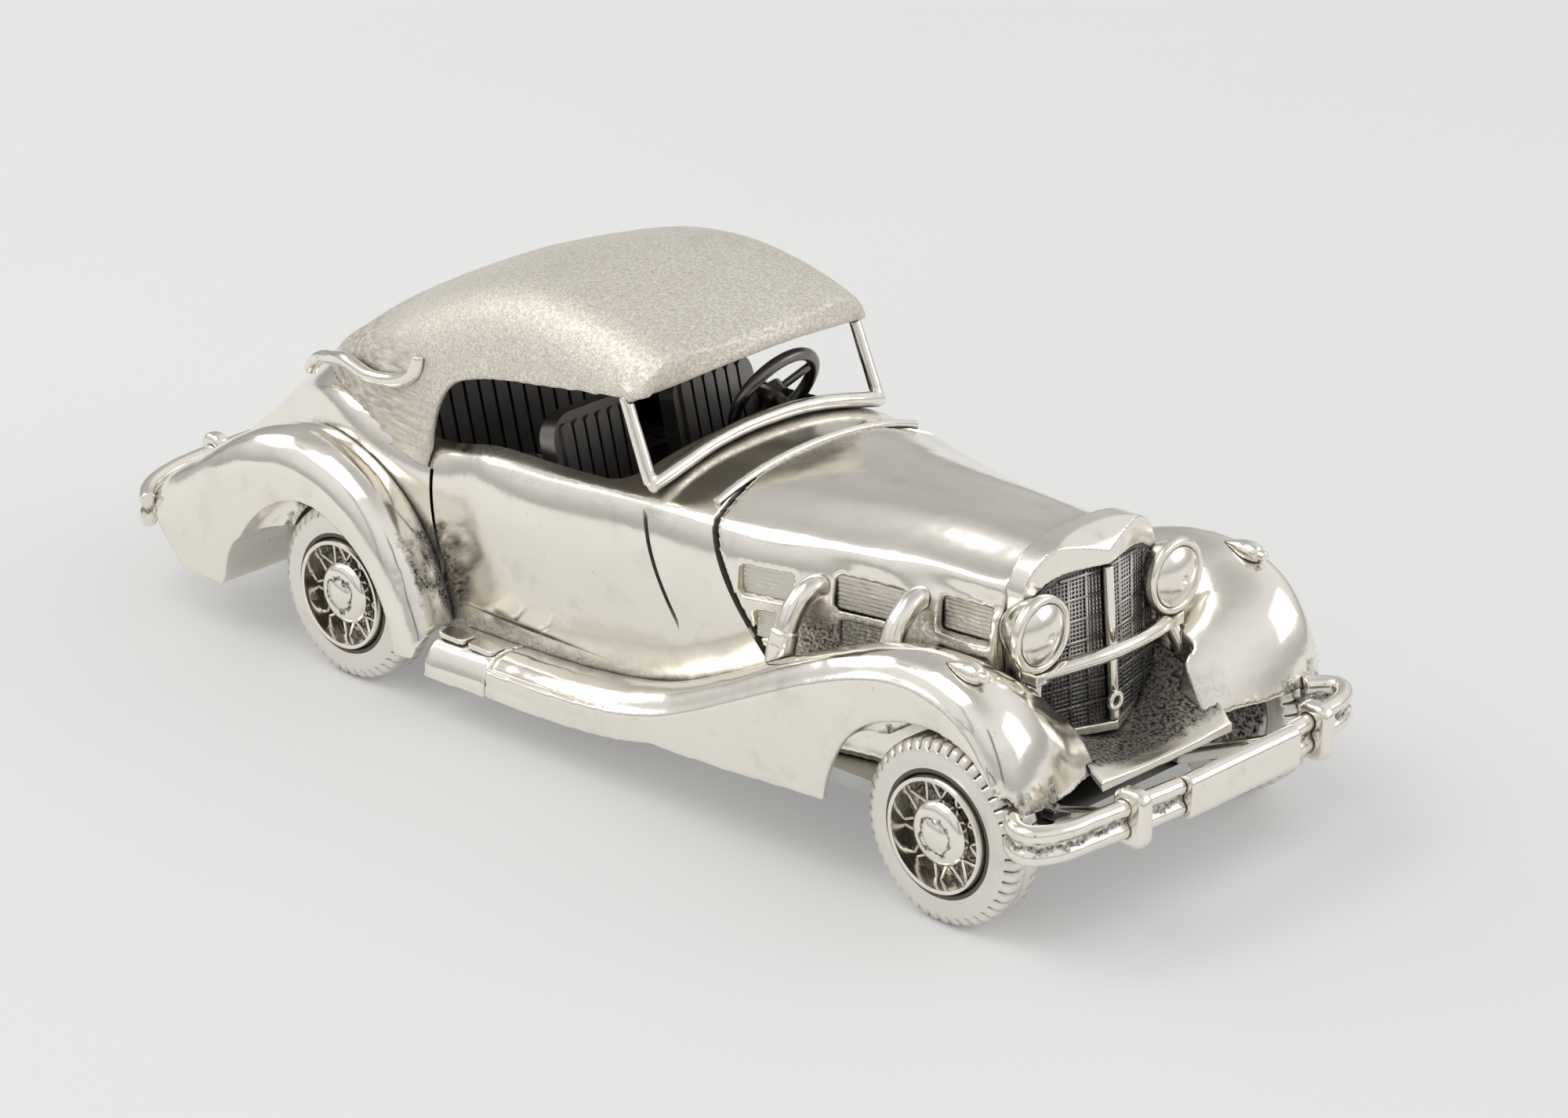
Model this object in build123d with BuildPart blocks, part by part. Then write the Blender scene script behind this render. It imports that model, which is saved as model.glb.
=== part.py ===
"""Collector car, scale 1:43: a cast 1930s two-door cabriolet with its soft top raised.

Millimetres, +X towards the nose, +Y to the car's left, +Z up, and Z = 0 where the tyres stand.
Every piece is its own solid. The front and rear wheel sets turn in the base plate's bearings.
"""
from build123d import *
from math import atan2, cos, pi, radians, sin
import os

os.makedirs("parts", exist_ok=True)

# ---- Driving dimensions --------------------------------------------------------------------------
WHEELBASE = 76.5
FRONT_AXLE_X = 47.25
REAR_AXLE_X = FRONT_AXLE_X - WHEELBASE
AXLE_R = 1.0
AXLE_CLEARANCE = 0.05
TYRE_R = 8.7
TYRE_FACE_Y = 21.2
TYRE_WIDTH = 4.5
RIM_R = 5.45
HUBCAP_R = 3.0
WALL = 1.1
TOUCHING = 0.02  # gap left between two castings that butt together
SEAM = 0.45  # width of the engraved lines round doors and bonnet
FLOOR_Z = 6.5  # underside of the body, top of the base plate
BASE_THICKNESS = 1.5
COWL_X = 14.0  # line between cowl and bonnet at the shoulder
COWL_RAKE = 25.8  # degrees that the cowl line leans back from vertical
BONNET_FRONT_X = 43.9
SKIRT_Y = 22.0  # outer face of the front fender's flat side
SIDES = {"right": -1, "left": 1}
WELL_R = 9.7
REAR_WELL_R = 9.15
WELL_INNER_Y = 15.6
BOARD_FRONT_X = -9.0  # front fender ends and running board begins
BOARD_REAR_X = -17.2
REAR_WING_DEPTH = 5.0
STEP_STRIP_Z = 7.8
STEP_STRIP_X = (-15.2, -11.2)
CABIN_MID_X = -15.5
CABIN_LENGTH = 37.0
CABIN_HALF_WIDTH = 14.3

# Body: x, half-widths at sill, middle and belt, then heights of belt edge, shoulder and crown
BODY_STATIONS = [
    (-60.6, 7.6, 8.8, 8.6, 9.8, 12.0, 12.6),
    (-57.0, 8.6, 9.8, 9.4, 12.4, 14.9, 16.0),
    (-50.0, 10.4, 11.4, 10.8, 17.6, 20.4, 22.0),
    (-43.0, 12.6, 13.4, 12.8, 22.4, 25.0, 26.8),
    (-36.0, 14.6, 15.5, 15.2, 24.0, 26.2, 28.0),
    (-28.0, 15.8, 16.4, 16.1, 23.4, 25.4, 27.2),
    (-15.0, 16.3, 16.8, 16.4, 23.9, 25.9, 27.6),
    (0.0, 16.2, 16.7, 16.4, 24.8, 26.8, 28.6),
    (9.0, 15.6, 16.2, 16.0, 25.3, 27.4, 29.6),
    (16.0, 14.6, 15.1, 14.9, 25.4, 27.3, 29.8),
    (24.0, 12.3, 12.7, 12.5, 25.5, 27.4, 30.0),
    (34.0, 10.0, 10.3, 10.2, 26.0, 28.0, 30.4),
    (45.0, 8.4, 8.7, 8.6, 26.6, 28.6, 31.0),
]

# Soft top: x, half-widths at base, rail and shoulder, then heights of rail, shoulder and crown
TOP_STATIONS = [
    (8.0, 15.0, 14.8, 12.2, 33.6, 37.6, 39.2),
    (3.0, 16.0, 15.8, 13.3, 34.4, 39.2, 41.2),
    (-4.0, 16.4, 16.3, 13.7, 34.8, 40.3, 42.6),
    (-10.0, 16.6, 16.3, 13.7, 34.8, 40.5, 42.9),
    (-17.0, 16.6, 16.2, 13.5, 33.9, 39.3, 41.8),
    (-24.0, 16.4, 15.9, 13.0, 32.4, 36.8, 39.3),
    (-31.0, 15.9, 14.9, 12.0, 30.6, 33.6, 35.9),
    (-37.0, 14.4, 12.8, 9.8, 29.0, 31.0, 32.6),
    (-41.0, 12.4, 10.4, 7.4, 27.6, 29.0, 29.9),
    (-43.5, 9.6, 8.0, 5.4, 26.6, 27.4, 27.8),
]
TOP_BASE_Z = 22.0
CABIN_FLOOR_Z = 10.5

# Front fender ridge: x, z, slope in degrees, width and drop of the slope inside the ridge
FRONT_RIDGE = [
    (-23.0, 7.9, 0.0, 3.4, 0.6),
    (-8.0, 8.2, 2.0, 3.6, 0.8),
    (4.0, 9.2, 9.0, 4.2, 1.2),
    (13.0, 11.6, 20.0, 5.2, 1.8),
    (22.0, 15.8, 27.0, 6.4, 2.6),
    (30.0, 19.8, 26.0, 7.6, 3.6),
    (37.0, 22.6, 17.0, 8.6, 4.6),
    (44.0, 23.9, 2.0, 9.2, 5.2),
    (50.4, 22.6, -26.0, 9.8, 5.2),
    (54.6, 18.4, -56.0, 10.6, 4.4),
    (56.5, 12.8, -80.0, 11.0, 3.0),
]
# Rear fender ridge: x, z, slope, inset of the ridge from the outer face, inner width and drop
REAR_RIDGE = [
    (-17.0, 5.0, -66.0, 3.0, 3.2, 0.9),
    (-19.4, 11.2, -68.0, 3.4, 3.6, 1.3),
    (-22.8, 17.2, -54.0, 4.2, 4.4, 2.4),
    (-28.6, 21.4, -30.0, 5.0, 5.6, 3.4),
    (-35.6, 22.8, 2.0, 5.2, 6.8, 4.2),
    (-42.6, 21.4, 22.0, 5.2, 7.8, 4.6),
    (-49.6, 17.4, 35.0, 5.0, 8.4, 4.6),
    (-57.0, 11.2, 44.0, 4.2, 8.0, 3.6),
]

LOUVRE_PANELS = [(17.4, 22.8, 20.6, 23.6), (26.6, 34.0, 21.0, 24.2), (37.4, 43.0, 21.6, 24.8),
                 (18.8, 22.8, 16.6, 19.4), (27.0, 33.6, 17.2, 20.0), (37.4, 43.0, 17.6, 20.4)]
LOUVRE_DEPTH = 0.5
LOUVRE_PITCH = 0.55
RADIATOR_HALF_WIDTH = 8.9
RADIATOR_SIDE_X = 45.9
RADIATOR_LOW_Z = 12.4
RADIATOR_SHOULDER_Z = 26.8
RADIATOR_CROWN_Z = 31.0
PLAN_HIGH_Z = 34.0
RADIATOR_BROW = [(42.9, 31.1), (45.3, 31.1), (47.1, 30.3), (48.5, 28.6)]  # side view, x and z
NOSE_LOW_X = 49.7
NOSE_HIGH_X = 47.8
GRILLE_HALF_WIDTH = 7.9
GRILLE_TOP_Z = 27.9
GRILLE_SHOULDER_Z = 26.2
GRILLE_RECESS = 0.9
CRANK_RING_Y = -0.8
CRANK_RING_Z = 15.6
APRON_STATIONS = [
    (43.6, 9.4, 12.2, 17.0), (48.0, 9.4, 12.0, 16.4), (52.0, 9.2, 11.9, 14.6), (55.4, 8.8, 11.9, 12.0),
]
LANDAU_ROUTE = [(-41.6, 13.4, 26.2), (-40.4, 13.7, 27.6), (-37.4, 14.4, 28.8), (-33.8, 15.5, 29.6), (-30.8, 16.0, 29.3),
                (-28.0, 16.2, 29.5), (-25.2, 16.3, 30.3), (-23.5, 16.2, 31.6), (-23.2, 16.0, 33.0)]
WINDSCREEN_SILL = [(6.6, -15.2, 28.0), (6.6, -12.0, 28.8), (6.3, -6.0, 29.9), (6.2, 0, 30.2), (6.3, 6.0, 29.9),
                   (6.6, 12.0, 28.8), (6.6, 15.2, 28.0)]

LAMP_X = 48.5  # front edge of the headlamp rims
LAMP_Y = 9.0
LAMP_Z = 24.0
LAMP_R = 3.6
LENS_R = 2.85
BAR_END_Z = 20.0
BAR_MID_Z = 20.9
BAR_NOSE_X = 50.6
STAY_FOOT_Z = 15.4
MARKER_X = 49.0
MARKER_Y = 18.7
MARKER_Z = 23.6
PIPE_R = 1.12
EXHAUST_ROUTES = [
    [(25.2, -11.6, 22.3), (25.2, -13.5, 23.0), (24.9, -15.5, 21.6), (24.5, -16.6, 18.8), (24.2, -16.9, 15.4)],
    [(35.4, -9.0, 23.4), (35.5, -11.0, 24.2), (35.6, -12.9, 23.4), (35.6, -14.2, 21.6), (35.6, -14.7, 19.4)],
]
RIB_RISE = 1.0
IRON_WIDTH = 1.5
FRONT_BUMPER_Z = 12.2
REAR_BUMPER_Z = 9.8
FRONT_BUMPER_ROUTE = [
    (56.2, -21.4), (57.4, -22.6), (59.0, -22.9), (60.4, -21.4), (61.2, -17.0), (61.9, -9.0), (62.2, 0),
    (61.9, 9.0), (61.2, 15.0), (60.2, 18.6), (58.8, 19.6), (57.4, 18.9), (56.4, 17.4),
]
REAR_BUMPER_ROUTE = [(-56.6, -22.0), (-58.9, -20.2), (-60.9, -16.6), (-62.0, -10.0), (-62.3, 0), (-62.0, 10.0),
                     (-60.9, 16.6), (-58.9, 20.2), (-56.6, 22.0)]
IRON_ROUTE = [(48.6, 8.4, 7.25), (50.0, 8.4, 7.25), (61.4, 11.6, 11.6)]
BASE_OUTLINE = [(-58.0, -6.5), (-46.0, -11.2), (-34.0, -14.0), (16.0, -14.0), (46.0, -13.4), (50.0, -9.4),
                (50.0, 9.4), (46.0, 13.4), (16.0, 14.0), (-34.0, 14.0), (-46.0, 11.2), (-58.0, 6.5)]
SCREW_PLACES = [(-50.0, 0.0), (38.0, 0.0)]
SCREW_R = 0.8
SCREW_HEAD_R = 1.5
SCREW_HEAD_DEPTH = 0.5
PLINTH_PLACES = [(-15.0, 0.0), (25.0, 0.0)]
PLINTH_HOLE_R = 1.25
BEARING_Y = 12.0
BEARING_TOP_Z = 10.4
SEAT_X = -6.6
SEAT_Y = 7.8
SEAT_TOP_Z = 29.6
SEAT_LEAN = 14.0
BENCH_X = -26.0
BENCH_TOP_Z = 31.0
DASH_X = 8.2
COLUMN_LEAN = 28.0
STEERING_CENTRE = (0.0, 7.7, 29.0)
STEERING_R = 4.8
SPOKE_COUNT = 20
SPOKE_SWING = 0.42

# Outlines on the car's side, x and z
SIDE_WINDOW = [(-21.9, 20.0), (-21.7, 25.4), (-20.7, 28.6), (-18.8, 31.2), (-15.6, 32.7), (-9.1, 34.1), (-3.1, 35.0),
               (4.0, 35.7), (9.0, 36.0)]
SKIRT_CREASE = [(-8.9, 7.2), (4.0, 7.9), (13.0, 9.6), (22.0, 13.6), (30.0, 17.6), (37.0, 20.6), (44.0, 22.0),
                (50.2, 20.2), (54.0, 15.6), (55.2, 12.8)]
SKIRT_LOWER = [(-8.9, 6.1), (6.0, 6.4), (23.9, 7.1), (34.6, 7.9), (48.0, 8.4), (55.2, 11.6)]
FRONT_ARCH = [
    (34.3, 6.0), (35.4, 12.0), (38.0, 15.7), (42.5, 18.1), (47.4, 18.7), (52.0, 17.2), (55.0, 13.4), (56.4, 9.0),
]
REAR_ARCH = [
    (-44.6, 6.0), (-43.2, 10.0), (-40.6, 13.6), (-36.6, 16.4), (-32.8, 17.2), (-28.4, 15.9), (-24.6, 13.2),
    (-22.2, 9.4), (-20.8, 4.0),
]
DOOR_OUTLINE = [(5.0, 31.0), (6.4, 26.8), (11.6, 14.4), (12.2, 9.6), (-20.6, 9.4), (-22.9, 31.0)]


def keep(builder, name):
    """Label a finished piece and write it to its own file."""
    builder.part.label = name
    export_step(builder.part, f"parts/{name}.step")


def smooth_section(plane, half_outline, base_v):
    """Face symmetric about the plane's vertical: a smooth arch over a straight base at base_v."""
    left = [(u, v) for u, v in half_outline]
    right = [(-u, v) for u, v in half_outline[:-1]]
    arch = [(-u, v) for u, v in left[:-1]] + [left[-1]] + [(-u, v) for u, v in reversed(right)]
    with BuildSketch(plane) as section:
        with BuildLine():
            curve = Spline(*arch)
            Polyline(curve @ 1, (arch[-1][0], base_v), (arch[0][0], base_v), curve @ 0)
        make_face()
    return section.sketch


def body_section(station, inset=0.0, base_z=FLOOR_Z):
    """Cross-section of the body at one station, moved in by inset for the hollow inside."""
    x, sill, middle, belt, belt_z, shoulder_z, crown_z = station
    low_z = base_z + 0.5
    outline = [
        (sill - inset, low_z),
        (middle - inset, (low_z + belt_z) / 2),
        (belt - inset, belt_z - inset / 2),
        (belt - 0.55 - inset, (belt_z + shoulder_z) / 2 - inset),
        (belt - 2.3 - inset, shoulder_z - inset),
        (belt * 0.5 - inset / 2, shoulder_z + 0.72 * (crown_z - shoulder_z) - inset),
        (0, crown_z - inset),
    ]
    return smooth_section(Plane.YZ.offset(x), outline, base_z)


def top_section(station, inset=0.0):
    """Cross-section of the raised soft top at one station."""
    x, base, rail, shoulder, rail_z, shoulder_z, crown_z = station
    outline = [
        (base - inset, TOP_BASE_Z + 1),
        ((base + rail) / 2 + 0.1 - inset, (TOP_BASE_Z + rail_z) / 2),
        (rail - inset, rail_z - inset / 2),
        (shoulder + (rail - shoulder) * 0.55 - inset, shoulder_z - (shoulder_z - rail_z) * 0.32 - inset / 2),
        (shoulder - inset, shoulder_z - inset),
        (shoulder * 0.55 - inset / 2, shoulder_z + 0.72 * (crown_z - shoulder_z) - inset),
        (0, crown_z - inset),
    ]
    return smooth_section(Plane.YZ.offset(x), outline, TOP_BASE_Z - inset)


def ridge_plane(x, z, lean, side):
    """Section plane standing across a fender: local x runs outwards, local y away from the wheel."""
    along = Vector(cos(radians(lean)), 0, sin(radians(lean)))
    return Plane(origin=(x, 0, z), x_dir=(0, side, 0), z_dir=along * side)


def fender_section(plane, ridge_y, outer, inner_width, inner_drop, depth):
    """Rounded cross-section of a fender: flat outer side, rolled top, inner slope."""
    points = [
        (outer, -depth),
        (outer, -3.4),
        (outer - 0.35, -1.9),
        (outer - 1.5, -0.45),
        (ridge_y, 0),
        (ridge_y - inner_width * 0.5, -inner_drop * 0.32),
        (ridge_y - inner_width, -inner_drop),
    ]
    with BuildSketch(plane) as section:
        with BuildLine():
            Line(points[0], points[1])
            curve = Spline(*points[1:])
            Polyline(curve @ 1, (ridge_y - inner_width, -depth), points[0])
        make_face()
    return section.sketch


def mirrored(piece):
    """The same piece on the car's other side."""
    return mirror(piece, about=Plane.XZ)


# ---- Solids that several pieces are cut from ------------------------------------------------------
def cowl_plane(shift=0.0):
    """Leaning plane between cowl and bonnet, moved along the car by shift; it faces forwards."""
    lean = radians(COWL_RAKE)
    return Plane(origin=(COWL_X + shift, 0, 27.2), x_dir=(0, 1, 0), z_dir=(cos(lean), 0, sin(lean)))


def body_half_width(x):
    """Half-width of the body at mid height, between stations."""
    for low, high in zip(BODY_STATIONS, BODY_STATIONS[1:]):
        if low[0] <= x <= high[0]:
            share = (x - low[0]) / (high[0] - low[0])
            return low[2] + share * (high[2] - low[2])
    return BODY_STATIONS[-1][2]


def stations_between(first_x, last_x):
    """The body stations from first_x to last_x."""
    return [station for station in BODY_STATIONS if first_x <= station[0] <= last_x]


with BuildPart() as body_mass:
    loft(sections=[body_section(station) for station in BODY_STATIONS])

with BuildPart() as cabin_hollow:
    loft(sections=[body_section(s, WALL, FLOOR_Z - 1) for s in stations_between(-43.0, 9.0)])
    with BuildSketch(Plane.XY.offset(CABIN_FLOOR_Z)):
        with Locations((CABIN_MID_X, 0)):
            RectangleRounded(CABIN_LENGTH, 2 * CABIN_HALF_WIDTH, 3)
    extrude(amount=25)

with BuildPart() as bonnet_hollow:
    loft(sections=[body_section(s, 1.4, FLOOR_Z - 1) for s in stations_between(24.0, 45.0)])

with BuildPart() as top_mass:
    loft(sections=[top_section(station) for station in TOP_STATIONS])

with BuildPart() as top_hollow:
    loft(sections=[top_section(s, 1.0) for s in TOP_STATIONS[:-1]])

with BuildPart() as front_wheel_well:
    with BuildSketch(Plane.XZ.offset(WELL_INNER_Y)):
        with Locations((FRONT_AXLE_X, TYRE_R)):
            Circle(WELL_R)
    extrude(amount=SKIRT_Y - 0.9 - WELL_INNER_Y)

with BuildPart() as rear_wheel_well:
    with BuildSketch(Plane.XZ.offset(WELL_INNER_Y)):
        with Locations((REAR_AXLE_X, TYRE_R)):
            Circle(REAR_WELL_R)
    extrude(amount=21.5 - WELL_INNER_Y)


# ---- Front fenders and running boards -------------------------------------------------------------
def arch_cutter(points, first_y, depth):
    """Prism across the car's right side under a smooth curve; closed below along the ground."""
    with BuildPart() as cutter:
        with BuildSketch(Plane.XZ.offset(first_y)):
            with BuildLine():
                curve = Spline(*points)
                Polyline(curve @ 1, (points[-1][0], 0), (points[0][0], 0), curve @ 0)
            make_face()
        extrude(amount=depth)
    return cutter.part


with BuildPart() as front_wing:
    wing_sections = []
    for x, z, slope, inner_width, inner_drop in FRONT_RIDGE:
        wing_plane = ridge_plane(x, z, slope, -1)
        wing_sections.append(
            fender_section(wing_plane, 18.4, SKIRT_Y, inner_width, inner_drop, inner_drop + 3)
        )
    loft(sections=wing_sections)
    with BuildSketch(Plane.XZ.offset(SKIRT_Y - 0.9)):
        with BuildLine():
            crease = Spline(*SKIRT_CREASE)
            lower = Spline(*SKIRT_LOWER)
            Line(crease @ 0, lower @ 0)
            Line(crease @ 1, lower @ 1)
        make_face()
    extrude(amount=0.9)
    add(arch_cutter(FRONT_ARCH, 20.0, 6.0), mode=Mode.SUBTRACT)
    add(front_wheel_well.part, mode=Mode.SUBTRACT)
    add(body_mass.part, mode=Mode.SUBTRACT)
    with BuildSketch(Plane.XY.offset(2.0)):
        with Locations((46.9, 0)):
            Rectangle(6.4, 19.0)
    extrude(amount=40, mode=Mode.SUBTRACT)

for side_name, side in SIDES.items():
    with BuildPart() as front_fender:
        add(front_wing.part if side < 0 else mirrored(front_wing.part))
        split(bisect_by=Plane.YZ.offset(BOARD_FRONT_X), keep=Keep.TOP)
    keep(front_fender, f"front_fender_{side_name}")
    with BuildPart() as running_board:
        add(front_wing.part if side < 0 else mirrored(front_wing.part))
        split(bisect_by=Plane.YZ.offset(BOARD_FRONT_X - TOUCHING), keep=Keep.BOTTOM)
        split(bisect_by=Plane.YZ.offset(BOARD_REAR_X), keep=Keep.TOP)
    keep(running_board, f"running_board_{side_name}")

with BuildPart() as step_strips:
    for side in SIDES.values():
        for strip_x in STEP_STRIP_X:
            with BuildSketch(Plane.XY.offset(STEP_STRIP_Z)):
                with Locations((strip_x, side * 19.4)):
                    RectangleRounded(3.6, 2.0, 0.6)
            extrude(amount=0.5)
    add(front_wing.part, mode=Mode.SUBTRACT)
    add(mirrored(front_wing.part), mode=Mode.SUBTRACT)
keep(step_strips, "step_strips")

# ---- Rear fenders ---------------------------------------------------------------------------------
with BuildPart() as rear_wing:
    wing_sections = []
    for x, z, slope, ridge_in, inner_width, inner_drop in REAR_RIDGE:
        wing_plane = ridge_plane(x, z, slope, -1)
        wing_sections.append(
            fender_section(
                wing_plane, 22.4 - ridge_in, 22.4, inner_width, inner_drop, inner_drop + REAR_WING_DEPTH
            )
        )
    loft(sections=wing_sections)
    add(arch_cutter(REAR_ARCH, 20.0, 6.0), mode=Mode.SUBTRACT)
    add(rear_wheel_well.part, mode=Mode.SUBTRACT)
    add(body_mass.part, mode=Mode.SUBTRACT)
    split(bisect_by=Plane.XY.offset(5.2), keep=Keep.TOP)
    add(front_wing.part, mode=Mode.SUBTRACT)

for side_name, side in SIDES.items():
    with BuildPart() as rear_fender:
        add(rear_wing.part if side < 0 else mirrored(rear_wing.part))
    keep(rear_fender, f"rear_fender_{side_name}")

# ---- Body shell -----------------------------------------------------------------------------------
with BuildPart() as door_seam:
    with BuildSketch(Plane.XZ.offset(15.85)):
        with BuildLine():
            FilletPolyline(*DOOR_OUTLINE, radius=2.2, close=True)
        make_face()
        offset(amount=-SEAM, kind=Kind.INTERSECTION, mode=Mode.SUBTRACT)
    extrude(amount=4)

with BuildPart() as body_shell:
    add(body_mass.part)
    split(bisect_by=cowl_plane(-SEAM), keep=Keep.BOTTOM)
    add(cabin_hollow.part, mode=Mode.SUBTRACT)
    add(door_seam.part, mode=Mode.SUBTRACT)
    add(mirrored(door_seam.part), mode=Mode.SUBTRACT)
    with BuildSketch(Plane.XY.offset(FLOOR_Z - 1)):
        with Locations((REAR_AXLE_X, 0)):
            Rectangle(3.2, 40)
    extrude(amount=4.8, mode=Mode.SUBTRACT)
    with BuildLine(Plane.YZ.offset(COWL_X - 1.0)) as moulding_line:
        Spline((-13.2, 27.7), (-7.4, 29.2), (0, 29.75), (7.4, 29.2), (13.2, 27.7))
    with BuildSketch(Plane(moulding_line.line @ 0, z_dir=moulding_line.line % 0)):
        Circle(0.42)
    sweep(path=moulding_line.line)
keep(body_shell, "body_shell")

# ---- Bonnet with its louvre panels ----------------------------------------------------------------
def louvre_plane(side, rear_x, front_x):
    """Plane on the floor of a louvre recess: local x runs forwards, local y level with -side * Z."""
    rear_y = body_half_width(rear_x)
    front_y = body_half_width(front_x)
    fall = atan2(rear_y - front_y, front_x - rear_x)
    middle = ((rear_x + front_x) / 2, side * (rear_y + front_y) / 2, 0)
    face = Plane(
        origin=middle, x_dir=(cos(fall), -side * sin(fall), 0), z_dir=(sin(fall), side * cos(fall), 0)
    )
    return face.offset(-LOUVRE_DEPTH)


with BuildPart() as bonnet:
    add(body_mass.part)
    split(bisect_by=cowl_plane(), keep=Keep.TOP)
    split(bisect_by=Plane.YZ.offset(BONNET_FRONT_X - TOUCHING), keep=Keep.BOTTOM)
    add(bonnet_hollow.part, mode=Mode.SUBTRACT)
    for side in SIDES.values():
        for rear_x, front_x, low_z, high_z in LOUVRE_PANELS:
            with BuildSketch(louvre_plane(side, rear_x, front_x)):
                with Locations((0, -side * (low_z + high_z) / 2)):
                    Rectangle(front_x - rear_x, high_z - low_z)
            extrude(amount=2, mode=Mode.SUBTRACT)
keep(bonnet, "bonnet")

with BuildPart() as bonnet_louvres:
    for side in SIDES.values():
        for rear_x, front_x, low_z, high_z in LOUVRE_PANELS:
            count = int((high_z - low_z - 0.3) / LOUVRE_PITCH)
            for index in range(count):
                slat_z = (low_z + high_z) / 2 + (index - (count - 1) / 2) * LOUVRE_PITCH
                with BuildSketch(louvre_plane(side, rear_x, front_x)):
                    with Locations((0, -side * slat_z)):
                        Rectangle(front_x - rear_x - 0.5, LOUVRE_PITCH * 0.5)
                extrude(amount=LOUVRE_DEPTH - 0.1)
keep(bonnet_louvres, "bonnet_louvres")


# ---- Radiator -------------------------------------------------------------------------------------
def radiator_plan(z, nose_x, width, back_x):
    """Plan outline of the V-fronted radiator at one height."""
    with BuildSketch(Plane.XY.offset(z)) as plan:
        with BuildLine():
            Polyline(
                (back_x, -width), (RADIATOR_SIDE_X, -width), (nose_x, 0),
                (RADIATOR_SIDE_X, width), (back_x, width), close=True,
            )
        make_face()
    return plan.sketch


def radiator_front(plane, width, low_z, shoulder_z, crown_z, corner):
    """Front outline of the radiator: flat sides, crowned top, cut lower corners."""
    with BuildSketch(plane) as front:
        with BuildLine():
            Polyline(
                (-width, shoulder_z), (-width, low_z + corner), (-width + corner, low_z),
                (width - corner, low_z), (width, low_z + corner), (width, shoulder_z),
            )
            Spline(
                (width, shoulder_z), (width * 0.86, shoulder_z + (crown_z - shoulder_z) * 0.56),
                (0, crown_z), (-width * 0.86, shoulder_z + (crown_z - shoulder_z) * 0.56), (-width, shoulder_z),
            )
        make_face()
    return front.sketch


grille_face = radiator_front(
    Plane.YZ.offset(BONNET_FRONT_X + 1.2), GRILLE_HALF_WIDTH, RADIATOR_LOW_Z + 0.9,
    GRILLE_SHOULDER_Z, GRILLE_TOP_Z, 2.0,
)

with BuildPart() as radiator_block:
    loft(sections=[
        radiator_plan(RADIATOR_LOW_Z - 1, NOSE_LOW_X, RADIATOR_HALF_WIDTH, BONNET_FRONT_X),
        radiator_plan(PLAN_HIGH_Z, NOSE_HIGH_X, RADIATOR_HALF_WIDTH, BONNET_FRONT_X),
    ])

with BuildPart() as radiator_core:
    loft(sections=[
        radiator_plan(RADIATOR_LOW_Z - 1, NOSE_LOW_X - GRILLE_RECESS, RADIATOR_HALF_WIDTH + 2, BONNET_FRONT_X - 3),
        radiator_plan(PLAN_HIGH_Z, NOSE_HIGH_X - GRILLE_RECESS, RADIATOR_HALF_WIDTH + 2, BONNET_FRONT_X - 3),
    ])

with BuildPart() as radiator_shell:
    shell_face = radiator_front(
        Plane.YZ.offset(BONNET_FRONT_X), RADIATOR_HALF_WIDTH, RADIATOR_LOW_Z,
        RADIATOR_SHOULDER_Z, RADIATOR_CROWN_Z, 2.4,
    )
    extrude(shell_face, amount=8)
    add(radiator_block.part, mode=Mode.INTERSECT)
    with BuildSketch(Plane.XZ.offset(-20)):
        with BuildLine():
            brow = Spline(*RADIATOR_BROW)
            Polyline(brow @ 1, (NOSE_LOW_X + 3, 26.0), (NOSE_LOW_X + 3, 0), (RADIATOR_BROW[0][0], 0), brow @ 0)
        make_face()
    extrude(amount=40, mode=Mode.INTERSECT)
    extrude(grille_face, amount=8, mode=Mode.SUBTRACT)
keep(radiator_shell, "radiator_shell")

with BuildPart() as radiator_grille:
    extrude(grille_face, amount=8)
    add(radiator_core.part, mode=Mode.INTERSECT)
keep(radiator_grille, "radiator_grille")

with BuildPart() as grille_centre_bar:
    bar_foot = (NOSE_LOW_X - 0.55, 0, RADIATOR_LOW_Z + 1.0)
    with BuildSketch(Plane(bar_foot, z_dir=(NOSE_HIGH_X - NOSE_LOW_X, 0, PLAN_HIGH_Z - RADIATOR_LOW_Z + 1))):
        Circle(0.5)
    extrude(amount=GRILLE_TOP_Z - RADIATOR_LOW_Z - 1.2)
    add(radiator_core.part, mode=Mode.SUBTRACT)
keep(grille_centre_bar, "grille_centre_bar")

with BuildPart() as crank_ring:
    with BuildSketch(Plane.YZ.offset(NOSE_LOW_X - 0.1)):
        with Locations((CRANK_RING_Y, CRANK_RING_Z)):
            Circle(0.95)
            Circle(0.45, mode=Mode.SUBTRACT)
    extrude(amount=0.5)
    fillet(crank_ring.edges().filter_by(GeomType.CIRCLE), 0.12)
keep(crank_ring, "crank_ring")

# ---- Apron under the radiator ---------------------------------------------------------------------
with BuildPart() as front_apron:
    apron_sections = []
    for x, half_width, middle_z, edge_z in APRON_STATIONS:
        with BuildSketch(Plane.YZ.offset(x)) as strip:
            with BuildLine():
                upper = ThreePointArc((-half_width, edge_z), (0, middle_z), (half_width, edge_z))
                lower = ThreePointArc(
                    (-half_width, edge_z - 0.9), (0, middle_z - 0.9), (half_width, edge_z - 0.9)
                )
                Line(upper @ 0, lower @ 0)
                Line(upper @ 1, lower @ 1)
            make_face()
        apron_sections.append(strip.sketch)
    loft(sections=apron_sections)
    add(front_wing.part, mode=Mode.SUBTRACT)
    add(mirrored(front_wing.part), mode=Mode.SUBTRACT)
    add(radiator_shell.part, mode=Mode.SUBTRACT)
    add(radiator_grille.part, mode=Mode.SUBTRACT)
    add(bonnet.part, mode=Mode.SUBTRACT)
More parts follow.
